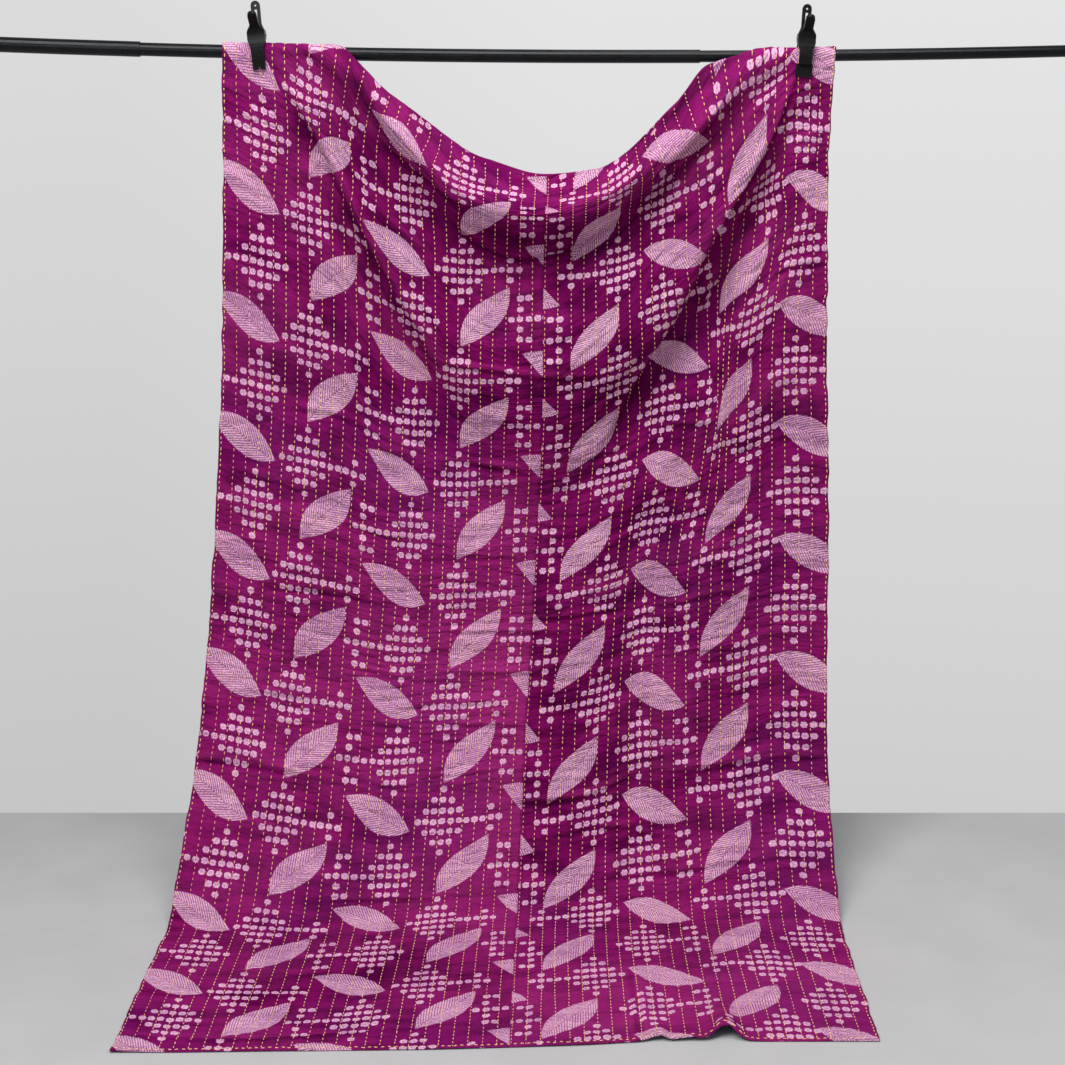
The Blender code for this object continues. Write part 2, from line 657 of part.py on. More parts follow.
def spring_path():
    """Four and a half turns round the pin, with a leg up to each handle."""
    per_turn, steps = 14, 63
    coil = [(-0.0058, 0.0110, PIVOT_RISE + 0.0165)]
    for k in range(steps + 1):
        a = 2.0 * math.pi * k / per_turn
        coil.append((-0.0058 + 0.0116 * k / steps, SPRING_RADIUS * math.cos(a),
                     PIVOT_RISE - SPRING_RADIUS * math.sin(a)))
    coil.append((0.0058, -0.0110, PIVOT_RISE + 0.0165))
    return coil


def build_clamp(name, at_x, lean, has_pad):
    """Two arms, a pin and a spring; pads where the clamp still has them."""
    inner = float(rod_radius(at_x)) + QUILT_ROD_GAP + QUILT_THICK
    made = [arm(name + "_front_arm", -1, has_pad, inner), arm(name + "_rear_arm", 1, has_pad, inner)]
    pin = disc(name + "_pin", PIN_RADIUS, 0.0345, "X", 20, "clamp_steel")
    shift_mesh(pin, (0.0, 0.0, PIVOT_RISE))
    made += [pin, curve_body(name + "_spring", spring_path(), SPRING_WIRE, 8, "clamp_steel")]
    if has_pad:
        for side, word in ((-1, "front"), (1, "rear")):
            pad = box("%s_%s_pad" % (name, word), PAD_SIZE, "pad_rubber")
            shift_mesh(pad, (0.0, side * (inner + CLAMP_GAP + PAD_SIZE[1] / 2.0 - 0.0002), PAD_MID_Z))
            made.append(pad)
    for body in made:
        points = np.array([v.co[:] for v in body.data.vertices])
        c, n = math.cos(lean), math.sin(lean)
        x, z = points[:, 0] * c + points[:, 2] * n, -points[:, 0] * n + points[:, 2] * c
        points[:, 0], points[:, 2] = x + at_x, z + float(rod_height(at_x))
        for vertex, co in zip(body.data.vertices, points):
            vertex.co = co
        body.data.update()
    return made


def settle_frame(bodies):
    """Put the box's middle over the origin and its lowest point on the floor."""
    bpy.context.view_layer.update()
    graph = bpy.context.evaluated_depsgraph_get()
    low, high = np.full(3, 1e9), np.full(3, -1e9)
    for body in bodies:
        shape = body.evaluated_get(graph).to_mesh()
        points = np.array([v.co[:] for v in shape.vertices])
        low, high = np.minimum(low, points.min(0)), np.maximum(high, points.max(0))
    offset = (-(low[0] + high[0]) / 2.0, -(low[1] + high[1]) / 2.0, -low[2])
    print("frame shift", [round(float(v), 6) for v in offset])
    for body in list(PART.objects) + list(CUTTERS.objects):
        shift_mesh(body, offset)
        body.data.update()


for old in list(bpy.data.objects):
    bpy.data.objects.remove(old)
PART = bpy.data.collections.new("kantha_quilt_on_rod")
CUTTERS = bpy.data.collections.new("cutters")
bpy.context.scene.collection.children.link(PART)
bpy.context.scene.collection.children.link(CUTTERS)

everything = [build_quilt()] + build_rod()
for row in CLAMPS:
    everything += build_clamp(*row)
settle_frame(everything)
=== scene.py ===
"""Looks of a printed kantha quilt hung from a telescoping rod by two spring clamps.

The quilt is one sheet with a printed front and a plain back, worked out as a surface of
two parameters: the share of the width and the distance from the front hem. Running
stitches, hems, the rod and the clamps are dressed around it.
"""

from __future__ import annotations

import logging
import math
from dataclasses import dataclass, field
from enum import Enum
from typing import Callable, Sequence

import bpy
import numpy as np
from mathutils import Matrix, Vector

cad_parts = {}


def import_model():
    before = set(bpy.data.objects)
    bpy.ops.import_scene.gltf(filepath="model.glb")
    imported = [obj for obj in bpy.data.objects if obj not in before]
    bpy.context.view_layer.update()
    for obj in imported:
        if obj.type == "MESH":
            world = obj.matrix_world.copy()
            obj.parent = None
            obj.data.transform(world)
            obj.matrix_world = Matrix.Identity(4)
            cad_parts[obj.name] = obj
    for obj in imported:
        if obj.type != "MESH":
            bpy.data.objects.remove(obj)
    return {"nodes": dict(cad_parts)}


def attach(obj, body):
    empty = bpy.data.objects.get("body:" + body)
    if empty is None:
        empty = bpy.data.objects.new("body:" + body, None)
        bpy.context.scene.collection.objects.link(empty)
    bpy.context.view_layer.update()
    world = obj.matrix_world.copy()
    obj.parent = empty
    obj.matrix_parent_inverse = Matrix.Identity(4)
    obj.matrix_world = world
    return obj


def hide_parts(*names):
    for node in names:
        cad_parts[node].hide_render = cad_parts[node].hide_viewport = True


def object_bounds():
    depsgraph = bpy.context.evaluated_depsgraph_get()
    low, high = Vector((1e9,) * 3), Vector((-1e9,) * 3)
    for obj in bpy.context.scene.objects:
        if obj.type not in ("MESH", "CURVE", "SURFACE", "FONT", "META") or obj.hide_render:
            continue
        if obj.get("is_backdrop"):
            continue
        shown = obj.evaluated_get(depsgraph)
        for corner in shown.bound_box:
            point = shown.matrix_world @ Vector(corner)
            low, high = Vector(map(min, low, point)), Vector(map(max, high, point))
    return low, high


LOG = logging.getLogger("kantha_quilt")
Array = np.ndarray
Colour = tuple[float, float, float]
Point = tuple[float, float, float]

ROD_Y = 0.403802  # the rod's axis in the part's frame
MM = 0.001  # one millimetre
LOWEST = 0.0002  # the least height of the cloth's underside over the floor


class Face(Enum):
    """The quilt's two faces."""

    FRONT = "front"
    BACK = "back"


class Panel(Enum):
    """The two lengths of cloth joined by the centre seam."""

    LEFT = 0
    RIGHT = 1


# --------------------------------------------------------------------- numbers
def smooth(t: Array | float) -> Array:
    """Ease from 0 to 1: three t squared minus two t cubed."""
    t = np.clip(t, 0.0, 1.0)
    return t * t * (3.0 - 2.0 * t)


def bell(t: Array) -> Array:
    """A bell of height 1: e to the power of minus t squared."""
    return np.exp(-np.square(t))


def spline(knots: Sequence[float], values: Array, at: Array) -> Array:
    """Monotone cubic through the knots.

    Args:
        knots: rising positions.
        values: one row per knot; may have several columns.
        at: positions to read.

    Returns:
        The values at those positions, with the columns last.
    """
    xk, yk = np.asarray(knots, float), np.asarray(values, float)
    step = np.diff(xk)
    shape = (-1,) + (1,) * (yk.ndim - 1)
    slope = np.diff(yk, axis=0) / step.reshape(shape)
    w1 = (2.0 * step[1:] + step[:-1]).reshape(shape)
    w2 = (step[1:] + 2.0 * step[:-1]).reshape(shape)
    a, b = slope[:-1], slope[1:]
    same = (a * b) > 0.0
    tangent = np.zeros_like(yk)
    mean = (w1 + w2) / (w1 / np.where(same, a, 1.0) + w2 / np.where(same, b, 1.0))
    tangent[1:-1] = np.where(same, mean, 0.0)
    tangent[0], tangent[-1] = slope[0], slope[-1]
    i = np.clip(np.searchsorted(xk, at) - 1, 0, len(xk) - 2)
    t, h = (at - xk[i]) / step[i], step[i]
    if yk.ndim > 1:
        t, h = t[..., None], h[..., None]
    return ((2 * t**3 - 3 * t**2 + 1) * yk[i] + (t**3 - 2 * t**2 + t) * h * tangent[i]
            + (-2 * t**3 + 3 * t**2) * yk[i + 1] + (t**3 - t**2) * h * tangent[i + 1])


def value_noise(x: Array, y: Array, seed: int) -> Array:
    """Smooth random field: random heights on whole-number points, eased between them.

    Args:
        x: first coordinate, in cells.
        y: second coordinate, in cells.
        seed: which field.

    Returns:
        Heights from -1 to 1.
    """
    table = np.random.default_rng(seed).uniform(-1.0, 1.0, (257, 257))
    xi, yi = np.floor(x).astype(int), np.floor(y).astype(int)
    tx, ty = smooth(x - xi), smooth(y - yi)
    a, b = table[xi % 256, yi % 256], table[(xi + 1) % 256, yi % 256]
    c, d = table[xi % 256, (yi + 1) % 256], table[(xi + 1) % 256, (yi + 1) % 256]
    return (a * (1 - tx) + b * tx) * (1 - ty) + (c * (1 - tx) + d * tx) * ty


def layered_noise(x: Array, y: Array, seed: int, layers: int = 3) -> Array:
    """Several fields of value noise, each half as strong and about twice as fine."""
    total, strength = np.zeros_like(x), 1.0
    for k in range(layers):
        total = total + strength * value_noise(x * 2.03**k, y * 2.03**k, seed + k)
        strength *= 0.5
    return total


@dataclass(frozen=True)
class Clouds:
    """A layered random field over the flat cloth."""

    seed: int
    across: float  # width of its widest cells
    along: float  # and their height
    strength: float
    layers: int = 2
    offset: float = 0.0

    def at(self, w: Array, s: Array) -> Array:
        """Its values at distances across and along."""
        x = w / self.across + self.offset
        return self.strength * layered_noise(x, s / self.along, self.seed, self.layers)


def unit(v: Array) -> Array:
    """Scale vectors to length 1."""
    return v / np.maximum(np.linalg.norm(v, axis=-1, keepdims=True), 1e-12)


def make_piece(name: str, verts: Array, faces: Array, soft: bool = True) -> bpy.types.Object:
    """Mesh object from arrays.

    Args:
        name: the piece's name.
        verts: points, one row each.
        faces: corner numbers, one row per face, all with as many corners.
        soft: shade smoothly.

    Returns:
        The object, linked to the scene.
    """
    mesh = bpy.data.meshes.new(name)
    verts, faces = np.asarray(verts, np.float32), np.asarray(faces, np.int32)
    mesh.vertices.add(len(verts))
    mesh.vertices.foreach_set("co", verts.ravel())
    corners = faces.shape[1]
    mesh.loops.add(faces.size)
    mesh.loops.foreach_set("vertex_index", faces.ravel())
    mesh.polygons.add(len(faces))
    mesh.polygons.foreach_set("loop_start", np.arange(len(faces), dtype=np.int32) * corners)
    mesh.polygons.foreach_set("use_smooth", np.full(len(faces), soft))
    mesh.update(calc_edges=True)
    mesh.validate()
    piece = bpy.data.objects.new(name, mesh)
    bpy.context.scene.collection.objects.link(piece)
    return piece


def give_uv(piece: bpy.types.Object, per_vertex: Array, name: str = "cloth") -> None:
    """Write a UV map from one (u, v) pair per vertex."""
    mesh = piece.data
    layer = mesh.uv_layers.new(name=name)
    index = np.empty(len(mesh.loops), np.int32)
    mesh.loops.foreach_get("vertex_index", index)
    layer.data.foreach_set("uv", per_vertex[index].astype(np.float32).ravel())


def give_value(piece: bpy.types.Object, name: str, per_vertex: Array) -> None:
    """Write a float attribute, one value per vertex."""
    layer = piece.data.attributes.new(name, "FLOAT", "POINT")
    layer.data.foreach_set("value", per_vertex.astype(np.float32).ravel())


def grid_quads(rows: int, cols: int, start: int = 0, flip: bool = False) -> Array:
    """Four-cornered faces of a grid whose points are numbered row by row; turned over or
    not, they are cut along the same diagonal."""
    j, i = np.meshgrid(np.arange(rows - 1), np.arange(cols - 1), indexing="ij")
    a = (start + j * cols + i).ravel()
    second, last = (a + cols, a + 1) if flip else (a + 1, a + cols)
    return np.stack([a, second, a + cols + 1, last], -1)


def rim_fans(fine: Array, thin: Array, flip: bool) -> Array:
    """Triangles between a line of points and another of every second one.

    Args:
        fine: numbers of the points of the full line.
        thin: numbers of the points across from every second of them.
        flip: turn the triangles over.

    Returns:
        Three corner numbers a row.
    """
    fans = ((fine[:-1:2], thin[:-1], fine[1::2]), (fine[1::2], thin[:-1], thin[1:]),
            (fine[1::2], thin[1:], fine[2::2]))
    return np.concatenate([np.stack(fan[::-1] if flip else fan, -1) for fan in fans])


# --------------------------------------------------------- the quilt's surface
@dataclass
class Drape:
    """How the quilt hangs: tables of sections, levels and swag lines, in metres.

    The same sizes as the plain solid's, so both lie on the same folds.
    """

    width: float = 1.30
    length: float = 2.21
    thick: float = 0.0030
    rod_gap: float = 0.00128
    rod_mid_z: float = 1.5955
    rod_tilt: float = -0.0060
    rod_bow: float = 0.0155
    tube_radius: tuple[float, float, float] = (0.01425, 0.01240, 0.01090)
    tube_ends: tuple[float, float] = (-0.731, 0.312)
    bend_soft: float = 0.018
    sweep_reach: float = 0.30
    reach_loss: float = 0.12
    reach_fade: float = 0.25
    droop_span: float = 1.55
    droop_power: float = 2.2
    drop_from: float = 2.00
    rod_half_span: float = 1.02  # the bow is worked out up to here
    tube_step: float = 0.02  # length over which the radius eases to the next
    clamp_x: tuple[float, float] = (-0.5095, 0.5065)
    clamp_hold: tuple[float, float] = (0.032, 0.050)  # half width and half height of the pressed patch
    # u, front hem y, floor run, droop, back hem drop, print drift at seven levels (1/1000)
    sections: tuple[tuple[float, ...], ...] = (
        (0.000, -0.836, 0.430, 0.000, -0.012, 0, 0, 0, 0, 0, 0, 0),
        (0.041, -0.836, 0.435, 0.000, -0.014, 0, 1, 2, 2, 2, 1, 0),
        (0.175, -0.833, 0.450, 0.012, -0.004, 0, 3, 2, 2, 8, 4, -2),
        (0.284, -0.830, 0.468, 0.077, 0.004, 0, 6, 3, 7, 9, 1, -2),
        (0.424, -0.826, 0.482, 0.120, 0.047, 0, 1, 0, 2, 2, 4, 4),
        (0.510, -0.820, 0.486, 0.121, 0.074, 0, 0, 0, 4, 12, 13, 11),
        (0.595, -0.814, 0.487, 0.122, 0.060, 0, -2, 1, 7, 23, 22, 18),
        (0.731, -0.800, 0.455, 0.092, 0.004, 0, -5, -11, -10, 22, 18, 8),
        (0.786, -0.800, 0.462, 0.075, -0.050, 0, -6, -13, -16, 21, 22, 5),
        (0.862, -0.800, 0.462, 0.048, -0.040, 0, -8, -13, -16, -10, 24, 5),
        (0.938, -0.800, 0.432, 0.016, -0.018, 0, -4, -8, -9, -10, 12, 2),
        (1.000, -0.800, 0.424, 0.006, -0.008, 0, 0, 0, 0, 0, 0, 0),
    )
    # distance from the front hem, left edge x, right edge x
    levels: tuple[tuple[float, ...], ...] = (
        (0.00, -0.711, 0.589), (0.44, -0.690, 0.586), (0.88, -0.651, 0.582), (1.15, -0.630, 0.583),
        (1.60, -0.598, 0.568), (1.95, -0.583, 0.558), (2.17, -0.576, 0.565))
    swag_x: tuple[float, ...] = (-0.50, -0.42, -0.34, -0.25, -0.12, 0.02, 0.14, 0.25, 0.34, 0.42, 0.50)
    # heights of each swag line at those stations, then how far it stands out (mm)
    swag_lines: tuple[tuple[tuple[float, ...], tuple[float, ...]], ...] = (
        ((1.640, 1.640, 1.600, 1.530, 1.440, 1.375, 1.400, 1.480, 1.560, 1.640, 1.640),
         (0, 2, 4, 2, -6, -10, -6, 2, 4, 2, 0)),
        ((1.618, 1.612, 1.568, 1.451, 1.336, 1.308, 1.347, 1.420, 1.499, 1.571, 1.600),
         (0, 8, 20, 30, 44, 50, 46, 36, 26, 12, 0)),
        ((1.600, 1.585, 1.508, 1.388, 1.244, 1.202, 1.237, 1.350, 1.449, 1.526, 1.580),
         (0, 1, -4, -10, -20, -24, -22, -14, -6, 0, 0)),
        ((1.590, 1.484, 1.335, 1.156, 1.022, 1.001, 1.044, 1.133, 1.284, 1.421, 1.553),
         (0, 10, 17, 21, 27, 30, 29, 26, 22, 12, 2)),
        ((1.555, 1.432, 1.262, 1.055, 0.845, 0.707, 0.825, 0.981, 1.122, 1.303, 1.498),
         (0, -12, -20, -22, -14, -10, -18, -32, -42, -34, -6)),
        ((1.480, 1.330, 1.140, 0.925, 0.660, 0.494, 0.600, 0.790, 0.930, 1.180, 1.369),
         (0, 0, 0, 0, 0, 0, 0, 0, 0, 0, 0)),
    )
    # x at the top, x at the floor, top height, half width, stand-out (mm)
    long_folds: tuple[tuple[float, ...], ...] = (
        (-0.345, -0.370, 0.95, 0.055, -9.0), (-0.230, -0.245, 0.85, 0.060, 8.0),
        (0.040, 0.030, 0.55, 0.070, 6.0), (0.215, 0.235, 0.80, 0.050, -10.0),
        (0.330, 0.315, 0.85, 0.055, 13.0), (0.445, 0.440, 1.00, 0.050, -9.0))
    # x, rise, half width, reach back from the hem
    hem_lifts: tuple[tuple[float, ...], ...] = (
        (0.330, 0.0245, 0.0230, 0.080), (0.213, 0.0090, 0.0150, 0.060), (0.270, 0.0050, 0.0250, 0.120))

    swag_gain: float = 1.16  # how much further the rolls stand out
    valley_gain: float = 1.22  # how much deeper the valleys lie
    valley_half_span: float = 0.42  # and how far from the middle
    valley_fade: float = 0.10
    swag_half_span: float = 0.56
    swag_fade: float = 0.07
    into_valley: tuple[float, float] = (0.30, 1.25)  # share of the soft ease, and the steep part's power
    from_valley: tuple[float, float] = (0.45, 2.0)
    clamp_ease: tuple[float, float] = (0.75, 2.2)  # where folds begin round the patch, and over what
    fold_fade: float = 0.35  # height over which the long folds fade upwards
    fold_start: tuple[float, float] = (0.03, 0.22)  # where they begin over the floor, and over what
    lift_back: float = 0.55  # how far back a lifted hem moves, per rise
    hang_from: float = 0.10  # height at which the hanging folds begin
    hang_over: float = 0.30  # height over which they grow to full size
    # distance across, how far the printed and quilted rows climb there (mm)
    row_climb: tuple[tuple[float, float], ...] = (
        (0, 0), (130, -15), (220, -24), (300, -29), (360, -26), (450, -16), (550, -6), (620, 1),
        (680, 4), (730, 10), (800, 20), (870, 22), (950, 24), (1000, 34), (1040, 43), (1100, 50),
        (1140, 52), (1200, 46), (1300, 36))

    def along_rows(self, u: Array, s: Array) -> Array:
        """Distance from the hem counted along the rows, which climb and sink a little across."""
        table = np.array(self.row_climb, float) * MM
        return s - spline(table[:, 0], table[:, 1], u * self.width)

    def rod_height(self, x: Array) -> Array:
        """Height of the rod's centre line: mid height plus a slight fall and a slight bow."""
        x = np.clip(x, -self.rod_half_span, self.rod_half_span)
        return self.rod_mid_z + self.rod_tilt * x + self.rod_bow * x * x

    def rod_radius(self, x: Array) -> Array:
        """Outer radius of the tube at x, eased at each step."""
        left, middle, right = self.tube_radius
        half = self.tube_step / 2.0
        r = middle + (left - middle) * smooth((self.tube_ends[0] + half - x) / self.tube_step)
        return r + (right - middle) * smooth((x - self.tube_ends[1] + half) / self.tube_step)

    def swag_out(self, x: Array, z: Array) -> Array:
        """How far the swag brings the cloth forward: eased from line to line down the cloth."""
        at = np.clip(x, self.swag_x[0], self.swag_x[-1])
        stations = np.array(self.swag_x)
        height = np.stack([spline(stations, row[0], at) for row in self.swag_lines], -1)
        out = np.stack([spline(stations, row[1], at) for row in self.swag_lines], -1) / 1000.0
        sink, sink_power = self.into_valley
        climb, climb_power = self.from_valley
        result = np.zeros_like(z)
        for k in range(len(self.swag_lines) - 1):
            upper, lower = height[..., k], height[..., k + 1]
            t = (upper - z) / np.maximum(upper - lower, 1e-4)
            held = np.clip(t, 0.0, 1.0)
            ease = smooth(t)
            if k == 1:  # steep down into the first valley
                ease = sink * smooth(ease) + (1.0 - sink) * held**sink_power
            elif k == 2:  # and steep out of it
                ease = climb * ease + (1.0 - climb) * (1.0 - (1.0 - held) ** climb_power)
            part = out[..., k] + (out[..., k + 1] - out[..., k]) * ease
            result = np.where((t >= 0.0) & (t < 1.0), part, result)
        result = np.where(z >= height[..., 0], out[..., 0], result)
        result = result + (self.swag_gain - 1.0) * np.maximum(result, 0.0)
        inner = smooth((self.valley_half_span - np.abs(x)) / self.valley_fade)
        result = result + (self.valley_gain - 1.0) * inner * np.minimum(result, 0.0)
        return result * smooth((self.swag_half_span - np.abs(x)) / self.swag_fade)

    def long_out(self, x: Array, z: Array) -> Array:
        """Soft lengthwise folds under the swag: a sum of bells across x, faded in height."""
        total = np.zeros_like(z)
        begin, over = self.fold_start
        for x_top, x_low, z_top, half, out in self.long_folds:
            centre = x_low + (x_top - x_low) * np.clip(z / z_top, 0.0, 1.0)
            strength = smooth((z_top - z) / self.fold_fade) * smooth((z - begin) / over)
            total += MM * out * strength * bell((x - centre) / half)
        return total

    def near_clamp(self, x: Array, z: Array) -> Array:
        """1 away from the clamps, 0 where the jaws press the quilt to the rod."""
        keep = np.ones_like(z)
        wide, high = self.clamp_hold
        begin, over = self.clamp_ease
        for cx in self.clamp_x:
            far = ((x - cx) / wide) ** 2 + ((z - self.rod_height(cx)) / high) ** 2
            keep *= smooth((far - begin) / over)
        return keep

    def lay_out(self, u: Array, s: Array) -> tuple[Array, Array, Array, Array, Array]:
        """Where (u, s) lies before folding.

        The length past the turn on the floor rises through a soft corner; the height
        reached is that rise less the length spent in the sweep and the droop of the swag.

        Args:
            u: share of the width.
            s: distance from the front hem.

        Returns:
            x, y of the turn, length past the turn, rise, height reached.
        """
        table, level = np.array(self.sections), np.array(self.levels)
        cut = spline(table[:, 0], table[:, 1:], u)
        hem_y, run, droop, drop = (cut[..., k] for k in range(4))
        drift = cut[..., 4:] / 1000.0
        at = np.clip(s, level[0, 0], level[-1, 0])
        i = np.clip(np.searchsorted(level[:, 0], at) - 1, 0, len(level) - 2)
        t = smooth((at - level[i, 0]) / (level[i + 1, 0] - level[i, 0]))
        low = np.take_along_axis(drift, i[..., None], -1)[..., 0]
        high = np.take_along_axis(drift, (i + 1)[..., None], -1)[..., 0]
        edges = spline(level[:, 0], level[:, 1:], at)
        x = edges[..., 0] + (edges[..., 1] - edges[..., 0]) * (u + low + (high - low) * t)
        past = s - run
        ratio = past / self.bend_soft
        rise = np.where(ratio > 30.0, past, self.bend_soft * np.log1p(np.exp(np.clip(ratio, -40.0, 30.0))))
        reach = rise - self.reach_loss * (1.0 - np.exp(-rise / self.reach_fade))
        reach = reach - droop * (np.maximum(past, 0.0) / self.droop_span) ** self.droop_power
        reach = reach - drop * smooth((s - self.drop_from) / (self.length - self.drop_from))
        return x, hem_y + run, past, rise, reach

    def middle(self, u: Array, s: Array) -> Array:
        """Middle of the cloth at (u, s): lying, turned up, hanging, and wrapped over the rod."""
        x, turn, past, rise, reach = self.lay_out(u, s)
        radius = self.rod_radius(x) + self.rod_gap + self.thick / 2.0
        centre = self.rod_height(x)
        sweep = (1.0 - np.exp(-reach / self.sweep_reach)) / (1.0 - np.exp(-centre / self.sweep_reach))
        front = turn + (past - rise) + (-radius - turn) * np.minimum(sweep, 1.0)
        hanging = smooth((reach - self.hang_from) / self.hang_over)
        out = (self.swag_out(x, reach) * self.near_clamp(x, reach) + self.long_out(x, reach)) * hanging
        over = np.maximum(reach - centre, 0.0) / radius
        angle = np.minimum(over, math.pi)
        behind = np.maximum(over - math.pi, 0.0) * radius
        lift = np.zeros_like(s)
        for hx, up, half, back in self.hem_lifts:
            lift += up * bell((x - hx) / half) * bell(s / back)
        puff = np.maximum(out, 0.0) * np.cos(np.minimum(angle, math.pi / 2.0)) ** 2
        y = np.where(over > 0.0, -(radius + puff) * np.cos(angle), front - out)
        z = np.where(over > 0.0, centre + (radius + puff) * np.sin(angle) - behind, reach)
        return np.stack([x, y + lift * self.lift_back + ROD_Y, z + self.thick / 2.0 + lift], -1)

    def outward(self, u: Array, s: Array) -> Array:
        """Unit vectors out of the printed face: the cross product of the two directions."""
        d = 1.5e-3
        along_u = self.middle(np.clip(u + d, 0, 1), s) - self.middle(np.clip(u - d, 0, 1), s)
        ahead, behind = np.clip(s + d, 0, self.length), np.clip(s - d, 0, self.length)
        along_s = self.middle(u, ahead) - self.middle(u, behind)
        return unit(np.cross(along_u, along_s))


def nearby(values: Array, choose: Callable[..., Array]) -> Array:
    """The lowest or highest of each value and its eight neighbours on the grid."""
    wide = np.pad(values, 1, mode="edge")
    rows, cols = values.shape
    return choose([wide[j:j + rows, i:i + cols] for j in range(3) for i in range(3)], axis=0)


def kept_behind(front: Array, back: Array, out: Array, gap: Array, rounds: int = 6) -> Array:
    """Every second row and column of a back surface, moved in until it clears the front.

    The thinned grid is filled in again halfway between its points and along the diagonals
    of its faces; where the front lies less than the gap before it, the points around are
    moved back by what is missing.

    Args:
        front: fine grid of front points.
        back: fine grid of back points.
        out: unit vectors out of the front.
        gap: least distance wanted at each fine point.
        rounds: how often this is repeated.

    Returns:
        The thinned grid of back points.
    """
    thin = back[::2, ::2].copy()
    for _ in range(rounds):
        filled = np.empty_like(front)
        filled[::2, ::2] = thin
        filled[1::2, ::2] = (thin[:-1] + thin[1:]) / 2.0
        filled[:, 1::2] = (filled[:, :-1:2] + filled[:, 2::2]) / 2.0
        filled[1::2, 1::2] = (thin[:-1, :-1] + thin[1:, 1:]) / 2.0
        lack = np.maximum(gap - np.sum((front - filled) * out, axis=-1), 0.0)
        thin -= out[::2, ::2] * nearby(lack, np.max)[::2, ::2, None]
    thin[..., 2] = np.maximum(thin[..., 2], LOWEST)
    return thin


@dataclass(frozen=True)
class Crease:
    """A crease drawn on the flat cloth, in millimetres."""

    line: tuple[tuple[float, float], ...]  # (across, along) points
    depth: float = 2.4
    half: float = 5.0
    lengthwise: bool = False
    fade: float = 0.30  # share of the length over which each end fades
    # the rolls beside the trough: place and half width in half widths of the trough, height
    rolls: tuple[tuple[float, float, float], ...] = ((1.9, 1.5, 0.85), (-2.4, 1.4, 0.2))

    def relief(self, w: Array, s: Array) -> Array:
        """A trough on the line with a soft roll on one side of it, fading at both ends.

        Args:
            w: distance across, in metres.
            s: distance from the front hem, in metres.
        """
        run, off = (s, w) if self.lengthwise else (w, s)
        points = np.array(self.line, float)[:, ::-1 if self.lengthwise else 1] / 1000.0
        fade = self.fade * (points[-1, 0] - points[0, 0])
        at = spline(points[:, 0], points[:, 1], np.clip(run, points[0, 0], points[-1, 0]))
        ends = smooth((run - points[0, 0]) / fade) * smooth((points[-1, 0] - run) / fade)
        away = (off - at) * 1000.0 / self.half
        roll = sum(high * bell((away - place) / half) for place, half, high in self.rolls)
        return MM * self.depth * ends * (roll - bell(away))


# ----------------------------------------------------------------- node wiring
@dataclass(frozen=True)
class Term:
    """A value worked out by nodes, which stands in a sum like a plain number."""

    wires: Wires
    socket: bpy.types.NodeSocket

    def __add__(self, other: Term | float) -> Term:
        """This plus the other."""
        return self.wires.math("ADD", self, other)

    def __sub__(self, other: Term | float) -> Term:
        """This less the other."""
        return self.wires.math("SUBTRACT", self, other)

    def __rsub__(self, other: float) -> Term:
        """A plain number less this."""
        return self.wires.math("SUBTRACT", other, self)

    def __mul__(self, other: Term | float) -> Term:
        """This times the other."""
        return self.wires.math("MULTIPLY", self, other)

    def __truediv__(self, other: float) -> Term:
        """This over a plain number."""
        return self * (1.0 / other)

    def __mod__(self, other: float) -> Term:
        """What is left of this after whole steps of the other, never below 0."""
        return self.wires.math("FLOORED_MODULO", self, other)

    def __pow__(self, other: float) -> Term:
        """This to a power."""
        return self.wires.math("POWER", self, other)

    def __abs__(self) -> Term:
        """This without its sign."""
        return self.wires.math("ABSOLUTE", self)

    def __round__(self) -> Term:
        """The nearest whole number."""
        return self.wires.math("ROUND", self)

    def __floor__(self) -> Term:
        """The whole number below."""
        return self.wires.math("FLOOR", self)

    def __gt__(self, other: float) -> Term:
        """1 where this is the larger, 0 elsewhere."""
        return self.wires.math("GREATER_THAN", self, other)

    def __lt__(self, other: float) -> Term:
        """1 where this is the smaller, 0 elsewhere."""
        return self.wires.math("LESS_THAN", self, other)


